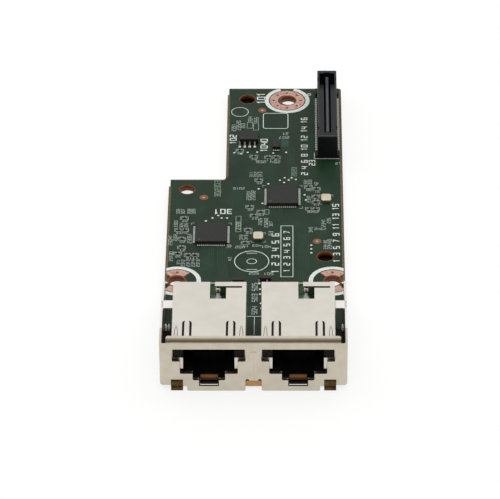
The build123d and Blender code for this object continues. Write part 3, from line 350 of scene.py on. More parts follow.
def stroke(points, width, closed=False):
    pts = [Vector(p) for p in points]
    count = len(pts)
    left, right = [], []
    for i, p in enumerate(pts):
        before = pts[(i - 1) % count] if closed or i > 0 else None
        after = pts[(i + 1) % count] if closed or i < count - 1 else None
        a = (p - before).normalized() if before else (after - p).normalized()
        b = (after - p).normalized() if after else a
        side = Vector((-(a + b).y, (a + b).x)).normalized()
        reach = width / 2 / max(sharpest, side.dot(Vector((-a.y, a.x))))
        left.append(tuple(p + side * reach))
        right.append(tuple(p - side * reach))
    last = count if closed else count - 1
    return [[left[i], right[i], right[(i + 1) % count], left[(i + 1) % count]] for i in range(last)]


def outlineBox(x0, y0, x1, y1, width, corner=0.0, steps=4):
    if not corner:
        return stroke([(x0, y0), (x1, y0), (x1, y1), (x0, y1)], width, True)
    points = []
    for cx, cy, start in ((x1 - corner, y0 + corner, 270), (x1 - corner, y1 - corner, 0),
                          (x0 + corner, y1 - corner, 90), (x0 + corner, y0 + corner, 180)):
        for i in range(steps + 1):
            a = math.radians(start + 90 * i / steps)
            points.append((cx + corner * math.cos(a), cy + corner * math.sin(a)))
    return stroke(points, width, True)


def clip(outlines, axis, low, high):
    kept = []
    for outline in outlines:
        for limit, sign in ((low, 1), (high, -1)):
            cut = []
            for p, q in zip(outline, outline[1:] + outline[:1]):
                pIn, qIn = sign * (p[axis] - limit) >= 0, sign * (q[axis] - limit) >= 0
                if pIn:
                    cut.append(p)
                if pIn != qIn:
                    t = (limit - p[axis]) / (q[axis] - p[axis])
                    cut.append(tuple(a + t * (b - a) for a, b in zip(p, q)))
            outline = cut
            if len(outline) < 3:
                break
        if len(outline) >= 3:
            kept.append(outline)
    return kept


def digitPaths(digit, inset):
    # strokes in a box 0.6 wide and 1 high; a cross bar ends where it meets the inside of an upright
    left, right = inset, 0.6 - inset
    return {"0": [[(0, 0), (0.6, 0), (0.6, 1), (0, 1), (0, 0)]],
            "1": [[(0.1, 0.78), (0.32, 1), (0.32, 0)]],
            "2": [[(0, 1), (0.6, 1), (0.6, 0.5), (0, 0.5), (0, 0), (0.6, 0)]],
            "3": [[(0, 1), (0.6, 1), (0.6, 0), (0, 0)], [(0.1, 0.5), (right, 0.5)]],
            "4": [[(0, 1), (0, 0.42), (right, 0.42)], [(0.6, 1), (0.6, 0)]],
            "5": [[(0.6, 1), (0, 1), (0, 0.5), (0.6, 0.5), (0.6, 0), (0, 0)]],
            "6": [[(0.6, 1), (0, 1), (0, 0), (0.6, 0), (0.6, 0.5), (left, 0.5)]],
            "7": [[(0, 1), (0.6, 1), (0.2, 0)]],
            "8": [[(0, 0), (0.6, 0), (0.6, 1), (0, 1), (0, 0)], [(left, 0.5), (right, 0.5)]],
            "9": [[(right, 0.5), (0, 0.5), (0, 1), (0.6, 1), (0.6, 0), (0, 0)]]}.get(digit, [])


digitStep = 0.95  # from digit to digit, as a share of the height


def numberMarks(text, x, y, height, turn, weight):
    # plain numbers, read along the direction of turn in degrees
    c, s = math.cos(math.radians(turn)), math.sin(math.radians(turn))
    shapes = []
    for i, digit in enumerate(text):
        for path in digitPaths(digit, weight / 2):
            closed = path[0] == path[-1]
            points = [((u + digitStep * i) * height, v * height) for u, v in (path[:-1] if closed else path)]
            points = [(x + u * c - v * s, y + u * s + v * c) for u, v in points]
            shapes += stroke(points, weight * height, closed)
    return shapes


def meshPiece(name, bm, finishKey, smooth=False):
    mesh = bpy.data.meshes.new(name)
    bm.to_mesh(mesh)
    bm.free()
    for face in mesh.polygons:
        face.use_smooth = smooth
    mesh.materials.append(finishes[finishKey])
    piece = bpy.data.objects.new(name, mesh)
    bpy.context.scene.collection.objects.link(piece)
    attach(piece, "root")


def printedLayer(name, outlines, rise, finishKey, base=0.0, sink=0.01):
    bm = bmesh.new()
    for outline in outlines:
        bm.faces.new([bm.verts.new(spot(x, y, base + rise)) for x, y in outline])
    bmesh.ops.remove_doubles(bm, verts=bm.verts[:], dist=weld)
    bmesh.ops.recalc_face_normals(bm, faces=bm.faces[:])
    for face in bm.faces:
        if face.normal.z < 0:
            face.normal_flip()
    bmesh.ops.solidify(bm, geom=bm.faces[:], thickness=(rise + sink) / 1000)
    meshPiece(name, bm, finishKey)


# raised shapes, added to a mesh in hand

def skin(bm, rows):
    # faces between closed rows of points of equal length
    grid = [[bm.verts.new(spot(*p)) for p in row] for row in rows]
    count = len(grid[0])
    for a, b in zip(grid, grid[1:]):
        for i in range(count):
            j = (i + 1) % count
            bm.faces.new((a[i], a[j], b[j], b[i]))
    return grid


def prism(bm, rows):
    # a solid from the first row of points to the last
    grid = skin(bm, rows)
    bm.faces.new(grid[0][::-1])
    bm.faces.new(grid[-1])


drop = ((1, 0), (0.92, 0.45), (0.7, 0.8), (0.35, 0.97))


def dome(bm, x, y, sizes, height, base=0.0, steps=16, profile=drop):
    # the profile gives the share of the half-sizes at each share of the height
    angles = [2 * math.pi * i / steps for i in range(steps)]
    rows = []
    for share, lift in profile:
        dx, dy, z = sizes[0] * share, sizes[1] * share, base + lift * height
        rows.append([(x + dx * math.cos(a), y + dy * math.sin(a), z) for a in angles])
    prism(bm, rows)


fillet = ((0, 1), (0.3, 0.5), (0.65, 0.2), (1, 0.05))


def solderRamp(bm, x, y, dx, dy, width, reach, top, base=-0.01):
    # a concave ramp of solder from an end face at x, y, outwards along dx, dy
    section = [(0, base)] + [(out * reach, lift * top) for out, lift in fillet] + [(reach, base)]
    rows = []
    for side in (-width / 2, width / 2):
        rows.append([(x + dx * out - dy * side, y + dy * out + dx * side, z) for out, z in section])
    prism(bm, rows)


def sleeve(bm, x, y, inner, outer, low, high, steps=40):
    angles = [2 * math.pi * i / steps for i in range(steps)]
    around = [(math.cos(a), math.sin(a)) for a in angles]
    rims = ((outer, low), (outer, high), (inner, high), (inner, low))
    rows = [[(x + r * c, y + r * s, z) for c, s in around] for r, z in rims]
    skin(bm, rows + rows[:1])
    bmesh.ops.remove_doubles(bm, verts=bm.verts[:], dist=weld)


def block(bm, x, y, z):
    prism(bm, [[(x[0], y[0], h), (x[1], y[0], h), (x[1], y[1], h), (x[0], y[1], h)] for h in z])


def closeUp(bm):
    bmesh.ops.recalc_face_normals(bm, faces=bm.faces[:])
    return bm


# bare laminate round the board's edge, in strips that stop short of the corners
border = {"width": 0.62, "rearWidth": 0.35, "wingEnd": 34.0, "gaps": (1.0, 1.2, 3.0), "rise": 0.012}
width, rearWidth, start = border["width"], border["rearWidth"], border["wingEnd"]
small, middle, large = border["gaps"]
shapes = bar(-half, start, -half + width, step - large)
shapes += bar(narrow, step + small, narrow + width, rear - large)
shapes += bar(half - width, start, half, rear - small)
shapes += bar(narrow + middle, rear - rearWidth, half - small, rear)
shapes += bar(-half + middle, step - rearWidth, narrow, step)
printedLayer("board_bare_border", shapes, border["rise"], "laminate")

# plating in the drilled holes with its rim on top, and the amber rings round the sighting dots
plating = {"wall": 0.05, "clear": 0.005, "lift": 0.02, "screwRim": 0.33, "rim": 0.14, "rise": 0.016,
           "sightRing": (0.38, 1.08)}
bm = bmesh.new()
shapes = []
for x, y, radius in [(x, y, card["screwHole"]) for x, y in screws] + card["locators"]:
    outer = radius - plating["clear"]
    rim = plating["screwRim"] if (x, y) in screws else plating["rim"]
    sleeve(bm, x, y, outer - plating["wall"], outer, -card["thickness"] + plating["lift"], plating["rise"])
    shapes += ring(x, y, radius, radius + rim, steps=48)
meshPiece("hole_plating", closeUp(bm), "holeWall", True)
printedLayer("hole_rims", shapes, plating["rise"], "holeWall")
shapes = []
for x, y in card["sights"]:
    shapes += ring(x, y, *plating["sightRing"], steps=28)
printedLayer("sight_rings", shapes, plating["rise"], "amber")

# painted shadow: a black disc under each of two of the locating holes
holeShadow = {"radius": 2.6, "base": -1.66, "rise": 0.062, "holes": [card["locators"][i][:2] for i in (0, 2)]}
shapes = []
for x, y in holeShadow["holes"]:
    shapes += disc(x, y, holeShadow["radius"], 40)
printedLayer("locator_painted_shadows", shapes, holeShadow["rise"], "nylon", holeShadow["base"])

# copper lands under the screw heads, and the sighting dots
lands = {"rise": 0.03, "inner": 2.4, "outer": 4.52, "edgeGap": 0.3, "sight": 0.36,
         "sectors": [(48, 132), (228, 312)]}
limit = half - lands["edgeGap"]
x, y = card["rearLand"]
shapes = ring(x, y, lands["inner"], lands["outer"], steps=72)
for x, y in screws[1:]:
    for start, end in lands["sectors"]:
        shapes += clip(ring(x, y, lands["inner"], lands["outer"], start, end, 24), 0, -limit, limit)
for x, y in card["sights"]:
    shapes += disc(x, y, lands["sight"])
printedLayer("copper_lands", shapes, lands["rise"], "copper")

# small plated holes through the screw lands
dots = {"radius": 0.33, "circle": 3.5, "count": 8, "rise": 0.036, "sectorSine": 0.5}
shapes = []
for x, y in [card["rearLand"]] + screws[1:]:
    for i in range(dots["count"]):
        a = 2 * math.pi * i / dots["count"]
        px, py = x + dots["circle"] * math.cos(a), y + dots["circle"] * math.sin(a)
        onLand = (x, y) == card["rearLand"] or abs(math.sin(a)) > dots["sectorSine"]
        if onLand and abs(px) < limit - dots["radius"]:
            shapes += disc(px, py, dots["radius"], 12)
printedLayer("land_via_holes", shapes, dots["rise"], "viaHole")

# copper tracks under the mask, in bundles: start points, how many, gap between them, then the bends
tracks = {"width": 0.17, "rise": 0.012, "sink": 0.006}
bundles = [((-13.2, 54.2), (0.42, 0), 8, [(-13.2, 45.0), (-14.4, 40.0), (-14.4, 24.0)]),
           ((-9.2, 54.2), (0.42, 0), 6, [(-9.2, 46.0), (-8.6, 41.0), (-8.6, 24.0)]),
           ((3.9, 70.4), (0.42, 0.3), 7, [(3.9, 66.0), (10.6, 60.5), (10.6, 24.0)]),
           ((8.6, 79.6), (0.4, 0), 5, [(8.6, 83.0), (8.0, 88.0), (8.0, 94.0)]),
           ((1.9, 76.5), (-0.4, 0.4), 6, [(-2.6, 76.5), (-5.8, 73.2), (-5.8, 70.5)]),
           ((-14.9, 57.0), (0, 0.42), 6, [(-20.2, 57.0)]),
           ((14.9, 97.0), (0, 0.8), 8, [(10.2, 97.0)]),
           ((-6.4, 58.0), (0, 0.45), 5, [(-4.4, 58.0)]),
           ((-1.0, 103.4), (0.5, 0.1), 4, [(-1.0, 104.4), (-3.0, 109.0), (-3.0, 115.0)]),
           ((14.9, 108.0), (0, 0.8), 6, [(9.8, 108.0)])]
shapes = []
for start, gap, count, bends in bundles:
    for i in range(count):
        path = [(x + gap[0] * i, y + gap[1] * i) for x, y in [start] + bends]
        shapes += stroke(path, tracks["width"])
printedLayer("masked_tracks", shapes, tracks["rise"], "track", sink=tracks["sink"])

# a window beside the regulator with no copper under the mask
clear = {"box": (6.2, 97.2, 8.2, 100.2), "rise": 0.01}
printedLayer("clear_mask_windows", bar(*clear["box"]), clear["rise"], "clearMask",
             sink=tracks["sink"])
print("copper printed")

# the small parts' places, for their solder and their marks
smallLength = 1.0
capacitors = [(3.075, 92.3), (5.075, 92.3), (15.025, 75.0), (15.025, 72.7), (1.3, 68.4), (-16.375, 50.2),
              (-14.775, 50.2), (-1.8, 60.8), (-2.5, 55.3), (-18.075, 57.0), (-18.075, 53.4), (-17.675, 65.7)]
resistors = [(-4.225, 95.4), (-0.625, 92.7), (0.7, 82.2), (-1.5, 70.6), (-0.4, 66.9), (13.375, 69.7),
             (14.875, 69.7), (13.175, 79.2), (15.175, 78.4), (-18.975, 50.9), (-18.975, 60.7), (-17.475, 60.7)]
crystals = [(0.7, 57.6), (17.575, 73.8)]
chips = {"places": [(-10.875, 58.7), (6.675, 74.9)], "half": 4.0, "height": 0.85, "reach": 4.35, "pitch": 0.5,
         "count": 14}
memory = {"place": (-1.925, 100.25), "span": 3.0, "pitch": 1.27, "count": 4, "height": 1.5}
frontShift = -0.42  # the front leads of the memory chip and the transistors stand this far aside
transistors = {"places": [(-4.1, 39.2), (2.45, 40.0)], "span": 1.25, "pitch": 0.95}
mezz = {"first": 95.65, "pitch": 0.8, "count": 30, "reach": 2.95, "height": 6.5}
regulator = {"place": (5.075, 97.7), "reach": 2.15, "pitch": 0.45, "count": 4}
jack = {"middle": 10.4, "postPlace": 1.9, "postSetback": 21.75, "innerTop": 8.2}


def rowOf(count, pitch):
    return [(i - (count - 1) / 2) * pitch for i in range(count)]


# solder at every foot, terminal and end cap
solder = {"chipRamp": (0.5, 0.3, 0.34), "footRamp": (0.62, 0.4, 0.26), "tailRamp": (0.42, 0.14, 0.2),
          "terminalRamp": (0.3, 0.14, 0.13)}
bm = bmesh.new()
width, reach, top = solder["chipRamp"]
for x, y in capacitors + resistors:
    for way in (-1, 1):
        solderRamp(bm, x + way * smallLength / 2, y, way, 0, width, reach, top)
meshPiece("small_part_solder", closeUp(bm), "dullSolder")
bm = bmesh.new()
width, reach, top = solder["footRamp"]
feet = [(memory["place"][0] + dx + shift, memory["place"][1] + way * memory["span"], way)
        for dx in rowOf(memory["count"], memory["pitch"]) for way, shift in ((-1, frontShift), (1, 0))]
for x, y in transistors["places"]:
    feet += [(x + way * transistors["pitch"] + frontShift, y - transistors["span"], -1) for way in (-1, 1)]
    feet.append((x, y + transistors["span"], 1))
for x, y, way in feet:
    solderRamp(bm, x, y, 0, way, width, reach, top)
width, reach, top = solder["tailRamp"]
for i in range(mezz["count"]):
    for way in (-1, 1):
        x, y = card["connectorX"] + way * mezz["reach"], mezz["first"] + i * mezz["pitch"]
        solderRamp(bm, x, y, way, 0, width, reach, top)
width, reach, top = solder["terminalRamp"]
for x, y in chips["places"]:
    for along in rowOf(chips["count"], chips["pitch"]):
        for way in (-1, 1):
            solderRamp(bm, x + way * chips["reach"], y + along, way, 0, width, reach, top)
            solderRamp(bm, x + along, y + way * chips["reach"], 0, way, width, reach, top)
x, y = regulator["place"]
for dx in rowOf(regulator["count"], regulator["pitch"]):
    for way in (-1, 1):
        solderRamp(bm, x + dx, y + way * regulator["reach"], 0, way, width, reach, top)
meshPiece("solder_fillets", closeUp(bm), "solder")

# solder that stands round each jack's post, a cone with a ball above it, and the joints beside the shields
cone = ((1, 0), (0.9, 0.12), (0.6, 0.4), (0.42, 0.75), (0.32, 1))
ball = ((0.4, 0), (0.8, 0.2), (1, 0.5), (0.85, 0.8), (0.5, 1))
joint = {"coneSize": (0.9, 0.9), "coneHeight": 1.8, "ballSize": (0.62, 0.62), "ballBase": 9.95,
         "ballHeight": 1.4, "tailSize": (0.33, 1.4), "tailHeight": 0.85, "tailSetback": 20.7,
         "tails": (-21.03, -20.3, 21.03)}
posts = [way * jack["middle"] + jack["postPlace"] for way in (-1, 1)]
bm = bmesh.new()
for x in posts:
    dome(bm, x, jack["postSetback"], joint["coneSize"], joint["coneHeight"], jack["innerTop"], profile=cone)
    dome(bm, x, jack["postSetback"], joint["ballSize"], joint["ballHeight"], joint["ballBase"], profile=ball)
for x in joint["tails"]:
    dome(bm, x, joint["tailSetback"], joint["tailSize"], joint["tailHeight"])
meshPiece("jack_solder", closeUp(bm), "frostedSolder", True)

# the end of the winding wire, soldered to the front of each post
rod = ((0.5, 0), (1, 0.15), (1, 0.85), (0.5, 1))
wire = {"size": (0.22, 0.22), "out": 0.52, "base": 10.25, "height": 0.95}
bm = bmesh.new()
for x in posts:
    dome(bm, x, jack["postSetback"] - wire["out"], wire["size"], wire["height"], wire["base"], profile=rod)
meshPiece("winding_wire_ends", closeUp(bm), "wire", True)

# moulded rib of each jack's chin, close in front of the board's edge
rib = {"half": 2.04, "front": 2.2, "rear": 3.09, "low": -2.26, "high": -1.57, "bevel": 0.12}
outline = [(rib["front"], rib["low"]), (rib["rear"], rib["low"]), (rib["rear"], rib["high"]),
           (rib["front"] + rib["bevel"], rib["high"]), (rib["front"], rib["high"] - rib["bevel"])]
bm = bmesh.new()
for way in (-1, 1):
    ends = (way * jack["middle"] - rib["half"], way * jack["middle"] + rib["half"])
    prism(bm, [[(x, y, z) for y, z in outline] for x in ends])
meshPiece("chin_ribs", closeUp(bm), "nylon")


def jackBlocks(name, finishKey, low, high, setback, height):
    # one block in each jack, low and high from the jack's middle
    bm = bmesh.new()
    for way in (-1, 1):
        x = way * jack["middle"]
        block(bm, (x + low, x + high), setback, height)
    meshPiece(name, closeUp(bm), finishKey)


# moulded floor of each latch channel, and a block of painted shade close under the slit in each shield
channel = {"low": -2.2, "high": 2.2, "setback": (3.25, 9.0), "height": (-0.01, 0.12)}
slit = {"low": 3.87, "high": 7.57, "setback": (20.82, 21.43), "height": (11.3, 11.93)}
jackBlocks("jack_moulded_floors", "nylon", **channel)
jackBlocks("jack_slit_painted_shade", "slitShade", **slit)

# painted shade on the board beside the jacks, drawn along the gap at each wing
bayShade = {"inner": 19.12, "edge": 21.15, "outer": 21.36, "front": 12.0, "middle": 20.6, "rear": 30.0,
        "rise": 0.012}
shapes = []
for way in (-1, 1):
    low, high = sorted((way * bayShade["inner"], way * bayShade["outer"]))
    shapes += bar(low, bayShade["front"], high, bayShade["middle"])
    low, high = sorted((way * bayShade["edge"], way * bayShade["outer"]))
    shapes += bar(low, bayShade["middle"], high, bayShade["rear"])
printedLayer("side_bay_painted_shade", shapes, bayShade["rise"], "bayShadeMask")

# tinned test points
points = {"size": (0.3, 0.3), "height": 0.1, "base": -0.01, "steps": 10}
testPoints = [(6.04, 82.16), (7.09, 81.2), (7.21, 83.26), (8.22, 82.3), (8.98, 83.26), (10.03, 82.52),
              (3.11, 80.62), (0.69, 78.43), (1.68, 72.14), (-10.69, 65.84), (-8.42, 65.84), (-7.09, 65.84),
              (-9.27, 66.9), (-12.3, 64.6), (13.76, 51.2), (13.76, 52.8), (13.76, 54.4), (1.28, 36.3),
              (1.29, 34.29), (1.65, 28.62), (1.51, 30.61), (12.5, 73.6), (12.2, 75.8), (-2.2, 94.6),
              (0.2, 94.7), (4.3, 94.3), (7.6, 94.6), (-5.6, 94.4), (-3.9, 94.0)]
bm = bmesh.new()
for x, y in testPoints:
    dome(bm, x, y, points["size"], points["height"], points["base"], points["steps"])
meshPiece("test_points", closeUp(bm), "solder", True)
print("solder laid")

# the moulded dimple in the corner of each chip
dimple = {"chip": 0.4, "inset": 1.0, "memory": 0.3, "memoryInset": (1.8, 1.25), "rise": 0.008}
corner = chips["half"] - dimple["inset"]
shapes = []
for x, y in chips["places"]:
    shapes += disc(x - corner, y - corner, dimple["chip"])
printedLayer("chip_dimples", shapes, dimple["rise"], "dimple", chips["height"])
x, y = (place - inset for place, inset in zip(memory["place"], dimple["memoryInset"]))
printedLayer("memory_dimple", disc(x, y, dimple["memory"]), dimple["rise"], "dimple",
             memory["height"])

# a painted highlight along the front edge of the tall connector, grey like its blade
edgeHighlight = {"box": (15.75, 92.37, 20.54, 92.55), "rise": 0.01}
printedLayer("connector_painted_edge_highlight", bar(*edgeHighlight["box"]), edgeHighlight["rise"], "polymerHighlight",
             mezz["height"])

# painted highlights: pale strips on the edges of the rib pressed in the panel
press = {"half": 0.55, "foot": 0.13, "crest": 0.065, "low": 3.2, "high": 8.6, "front": -0.072, "back": -0.04}
foot, crest = press["foot"] / 2, press["crest"] / 2
outline = [(-foot, press["back"]), (foot, press["back"]), (crest, press["front"]), (-crest, press["front"])]
bm = bmesh.new()
for x in (-press["half"], press["half"]):
    prism(bm, [[(x + u, v, z) for u, v in outline] for z in (press["low"], press["high"])])
meshPiece("panel_rib_painted_highlights", closeUp(bm), "tin")

# white ink: rings round the screws, then ovals, boxes and lines
ink = {"rise": 0.04, "bold": 0.19, "thin": 0.15, "fine": 0.1, "ring": (4.78, 5.85), "rearGap": (71, 109),
       "rearClear": 0.1, "dot": (13.6, 121.2, 0.28, 0.5)}
bold, thin, fine = ink["bold"], ink["thin"], ink["fine"]
ovals = [(-4.37, 113.04, (2.25, 2.15), thin), (-0.82, 47.66, (4.27, 4.36), bold),
         (-0.82, 47.66, (1.25, 1.1), thin)]
lines = [((-2.1, 51.0), (0.5, 51.0)), ((-2.1, 44.3), (0.5, 44.3)), ((14.7, 91.75), (21.1, 91.75)),
         ((14.75, 92.0), (14.75, 94.4)), ((0.0, 18.2), (0.0, 25.2)), ((-1.7, 25.4), (1.7, 25.4))]
frames = [(1.7, 105.4, 8.05, 112.4, bold, 0.7), (6.3, 41.3, 9.25, 62.5, thin)]
gapStart, gapEnd = ink["rearGap"]
shapes = ring(*card["rearLand"], *ink["ring"], gapEnd, 360 + gapStart, 80)
shapes = clip(shapes, 1, 0, rear - ink["rearClear"])
for x, y in screws[1:]:
    shapes += clip(ring(x, y, *ink["ring"], steps=80), 0, -limit, limit)
for mark in ovals:
    shapes += oval(*mark)
for mark in frames:
    shapes += outlineBox(*mark)
for mark in lines:
    shapes += stroke(mark, thin)
shapes += ring(*ink["dot"], steps=20)
printedLayer("ink_outlines", shapes, ink["rise"], "ink")

# a fine box round each small part, corner brackets round the crystals and chips
marks = {"clear": (0.98, 0.62), "crystal": (1.75, 2.0, 0.75, 0.7), "chip": (4.95, 4.95, 0.75, 0.75)}
dx, dy = marks["clear"]
fineBoxes = [(x - dx, y - dy, x + dx, y + dy) for x, y in capacitors + resistors]
fineBoxes += [(-2.45, 105.5, -1.0, 108.1), (-0.8, 104.7, 0.5, 107.6), (-4.85, 60.0, -3.6, 66.6),
              (2.05, 67.4, 3.3, 69.4)]


def cornerBracket(x, y, sx, sy, across, along, first, second):
    # two short strokes that meet outside one corner of a part
    u, v = x + sx * across, y + sy * along
    return stroke([(u - sx * first, v), (u, v), (u, v - sy * second)], fine)


shapes = []
for box in fineBoxes:
    shapes += outlineBox(*box, fine)
for x, y in crystals:
    for sx in (-1, 1):
        for sy in (-1, 1):
            shapes += cornerBracket(x, y, sx, sy, *marks["crystal"])
for x, y in chips["places"]:
    for sx, sy in ((-1, 1), (1, 1), (1, -1)):
        shapes += cornerBracket(x, y, sx, sy, *marks["chip"])
printedLayer("ink_part_boxes", shapes, ink["rise"], "thinInk")

# plain position numbers: text, place, height, reading direction
numbers = [("101", 2.05, 117.0, 1.9, 90), ("102", -5.2, 98.5, 1.55, 90), ("1040", 2.75, 95.0, 1.6, 90),
           ("23", 14.85, 88.8, 1.4, 90), ("2 4 6 8 10 12 14 16", 12.95, 84.6, 1.45, 90),
           ("1 3 5 7 9 11 13 15", 20.65, 47.4, 1.45, 90), ("1 2 3 4 5 6", 5.75, 43.0, 1.6, 90),
           ("1 2 3 4 5 6 7", 8.45, 43.4, 1.4, 90), ("301", -5.9, 69.5, 1.8, 180),
           ("204 206", 6.0, 90.8, 0.95, 180), ("31", 8.2, 103.5, 1.0, 180), ("207", 8.3, 101.8, 1.0, 180),
           ("2351", -5.45, 104.2, 0.9, 90), ("23520", -4.2, 104.7, 0.95, 90), ("353", -3.05, 105.5, 0.85, 90),
           ("354", -1.2, 108.4, 0.95, 90), ("355", 0.4, 107.9, 1.0, 90),
           ("311", -0.75, 83.6, 0.85, 90), ("312", 0.35, 83.6, 0.85, 90), ("313", 1.5, 83.6, 0.85, 90),
           ("2010", -2.9, 79.0, 0.8, 180), ("23201", -1.35, 73.6, 0.9, 90), ("23202", -0.2, 73.6, 0.9, 90),
           ("2325", 1.55, 62.9, 0.8, 90), ("23260", 3.05, 61.9, 0.85, 90), ("327", 4.2, 62.3, 0.8, 90),
           ("2328", -3.8, 61.0, 0.9, 90), ("63", 4.3, 58.6, 0.95, 90),
           ("306", -18.9, 67.6, 0.8, 90), ("307", -17.7, 67.6, 0.8, 90), ("308", -16.1, 67.6, 0.8, 90),
           ("309", -15.05, 67.6, 0.8, 90), ("23041", -20.45, 54.4, 0.9, 90), ("2302", -19.35, 56.2, 0.75, 90),
           ("2303", -19.35, 62.0, 0.75, 90), ("304", -17.95, 61.7, 0.75, 90), ("305", -16.75, 61.7, 0.75, 90),
           ("23061", -15.75, 55.2, 0.9, 90), ("23100", -20.15, 47.8, 0.85, 90),
           ("311", -18.3, 46.4, 0.75, 90), ("2312", -17.2, 45.5, 0.8, 90),
           ("2313", -15.95, 45.5, 0.8, 90), ("2314", -14.75, 45.5, 0.8, 90),
           ("2315", -13.55, 45.5, 0.8, 90), ("318", -3.1, 56.6, 0.8, 90), ("319", -1.9, 56.6, 0.8, 90),
           ("401", 3.8, 54.2, 0.9, 180), ("402", -2.6, 54.0, 0.9, 180), ("403", 1.4, 54.6, 0.8, 180),
           ("501", 4.4, 43.0, 0.9, 180), ("502", 0.9, 43.2, 0.9, 180), ("503", 0.6, 31.3, 1.2, 90),
           ("504", 0.6, 26.3, 1.2, 90), ("505", 0.6, 35.7, 1.2, 90), ("41", -5.65, 48.0, 0.95, 90),
           ("2331", 13.6, 72.6, 0.8, 90), ("332", 12.9, 80.3, 0.8, 90), ("333", 14.0, 80.3, 0.8, 90),
           ("42", 15.6, 79.9, 0.85, 90), ("2341", 17.25, 62.2, 0.85, 90), ("235", 18.6, 63.6, 0.85, 90),
           ("2342", 17.4, 61.6, 0.8, 180), ("345", 14.1, 59.8, 0.85, 90), ("23430", 17.65, 52.8, 0.8, 90),
           ("23440", 18.75, 52.8, 0.9, 90), ("21", 20.1, 89.2, 0.85, 0), ("33", -6.1, 53.2, 0.8, 90)]
partNumber = {"first": 11, "offset": (0.8, -0.8), "height": 0.8, "turn": 180}
lettering = {"largeFrom": 1.2, "large": 0.17, "small": 0.13}
dx, dy = partNumber["offset"]
partNumbers = [(str(partNumber["first"] + i), x + dx, y + dy, partNumber["height"], partNumber["turn"])
               for i, (x, y) in enumerate(capacitors + resistors)]
large, small = [], []
for text, x, y, height, turn in partNumbers + numbers:
    if height > lettering["largeFrom"]:
        large += numberMarks(text, x, y, height, turn, lettering["large"])
    else:
        small += numberMarks(text, x, y, height, turn, lettering["small"])
printedLayer("ink_numbers", large, ink["rise"], "ink")
printedLayer("ink_small_numbers", small, ink["rise"], "thinInk")

# worn marks, hardly lighter than the mask: text, place, height, reading direction, weight
wornNumbers = [("302", -8.9, 75.0, 1.35, 90, 0.24), ("303", -9.0, 78.6, 1.35, 90, 0.2),
               ("2020", 10.15, 84.0, 1.1, 90, 0.2)]
shapes = []
for mark in wornNumbers:
    shapes += numberMarks(*mark)
printedLayer("ink_worn_marks", shapes, ink["rise"], "faintInk")
print("ink printed")

# studio: a pale floor that stays white to the eye, under soft shadows
stage = {"floorSize": 4.0, "floorColour": (0.94, 0.94, 0.94, 1.0), "white": (1.0, 1.0, 1.0, 1.0),
         "whiteShare": 0.8, "skyFrom": -0.95, "skyTo": 0.55, "skyLow": 0.29, "skyHigh": 0.95,
         "dimColour": "#B6A78D", "dimFrom": -0.7, "dimTo": 0.1}
bpy.ops.mesh.primitive_plane_add(size=stage["floorSize"], location=(0, 0, 0))
floor = bpy.context.object
floor.name = "studio_floor"
paper = bpy.data.materials.new("white_paper_sweep")
paper.use_nodes = True
tree = paper.node_tree
tree.nodes.clear()
matt = addNode(tree, "ShaderNodeBsdfDiffuse", {"Color": stage["floorColour"]})
glow = addNode(tree, "ShaderNodeEmission", {"Color": stage["white"], "Strength": 1.0})
path = addNode(tree, "ShaderNodeLightPath")
seen = addNode(tree, "ShaderNodeMath", {0: (path, "Is Camera Ray"), 1: (path, "Is Glossy Ray")},
               operation="MAXIMUM")
seen = addNode(tree, "ShaderNodeMath", {0: seen, 1: (path, "Is Transmission Ray")}, operation="MAXIMUM")
share = addNode(tree, "ShaderNodeMath", {0: seen, 1: stage["whiteShare"]}, operation="MULTIPLY")
sweep = addNode(tree, "ShaderNodeMixShader", {0: share, 1: matt, 2: glow})
addNode(tree, "ShaderNodeOutputMaterial", {"Surface": sweep})
floor.data.materials.append(paper)

# a room that is bright behind the card, dim and warmer towards the viewer
world = bpy.data.worlds.new("soft_room")
bpy.context.scene.world = world
world.use_nodes = True
tree = world.node_tree
tree.nodes.clear()
aim = addNode(tree, "ShaderNodeTexCoord")
aimParts = addNode(tree, "ShaderNodeSeparateXYZ", {"Vector": (aim, "Generated")})
level = addNode(tree, "ShaderNodeMapRange", {"Value": (aimParts, "Y"), "From Min": stage["skyFrom"],
                                             "From Max": stage["skyTo"], "To Min": stage["skyLow"],
                                             "To Max": stage["skyHigh"]})
tint = addNode(tree, "ShaderNodeMapRange", {"Value": (aimParts, "Y"), "From Min": stage["dimFrom"],
                                            "From Max": stage["dimTo"]})
tone = addNode(tree, "ShaderNodeMixRGB", {"Fac": tint, "Color1": stage["dimColour"], "Color2": stage["white"]})
room = addNode(tree, "ShaderNodeBackground", {"Color": tone, "Strength": level})
addNode(tree, "ShaderNodeOutputWorld", {"Surface": room})


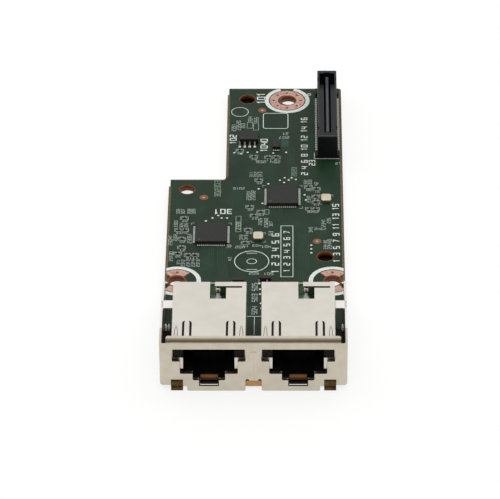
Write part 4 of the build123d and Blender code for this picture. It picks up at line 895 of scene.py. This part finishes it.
def softLamp(name, place, power):
    # a square soft box, aimed at the card
    lamp = bpy.data.lights.new(name, "AREA")
    lamp.shape = "RECTANGLE"
    lamp.size, lamp.size_y = lamps["size"]
    lamp.energy = power
    holder = bpy.data.objects.new(name, lamp)
    holder.location = place
    holder.rotation_euler = (-Vector(place)).to_track_quat("-Z", "Y").to_euler()
    bpy.context.scene.collection.objects.link(holder)
    return holder


lamps = {"size": (0.7, 0.7), "left": (-0.55, 0.3, 0.95), "right": (0.55, 0.3, 0.95), "sidePower": 1.9,
         "front": (0.0, -0.55, 0.85), "frontPower": 4.2}
softLamp("left_softbox", lamps["left"], lamps["sidePower"])
softLamp("right_softbox", lamps["right"], lamps["sidePower"])
frontLamp = softLamp("front_softbox", lamps["front"], lamps["frontPower"])
frontLamp.visible_glossy = False  # as a polarised lamp, it leaves no glare line on the folded edge

# camera, from the photograph's viewing angle
shot = {"place": (7.54, -709.53, 512.76), "pitch": 36.078, "yaw": -0.721, "roll": -0.409, "focal": 3534.1,
        "width": 500, "sensor": 36.0, "farEnd": 20.0}
pitch, yaw, roll = (math.radians(shot[k]) for k in ("pitch", "yaw", "roll"))
forward = Vector((math.sin(yaw) * math.cos(pitch), math.cos(yaw) * math.cos(pitch), -math.sin(pitch)))
across = Vector((math.cos(yaw), -math.sin(yaw), 0))
above = across.cross(forward)
acrossTilted = across * math.cos(roll) + above * math.sin(roll)
aboveTilted = above * math.cos(roll) - across * math.sin(roll)
lens = bpy.data.cameras.new("photo_camera")
lens.sensor_fit = "HORIZONTAL"
lens.sensor_width = shot["sensor"]
lens.lens = shot["focal"] / shot["width"] * lens.sensor_width
lens.clip_end = shot["farEnd"]
camera = bpy.data.objects.new("photo_camera", lens)
turn = Matrix((acrossTilted, aboveTilted, -forward)).transposed().to_4x4()
camera.matrix_world = Matrix.Translation(Vector(shot["place"]) / 1000) @ turn
bpy.context.scene.collection.objects.link(camera)
bpy.context.scene.camera = camera
bpy.context.scene.view_settings.view_transform = "Standard"
print("studio and camera set")
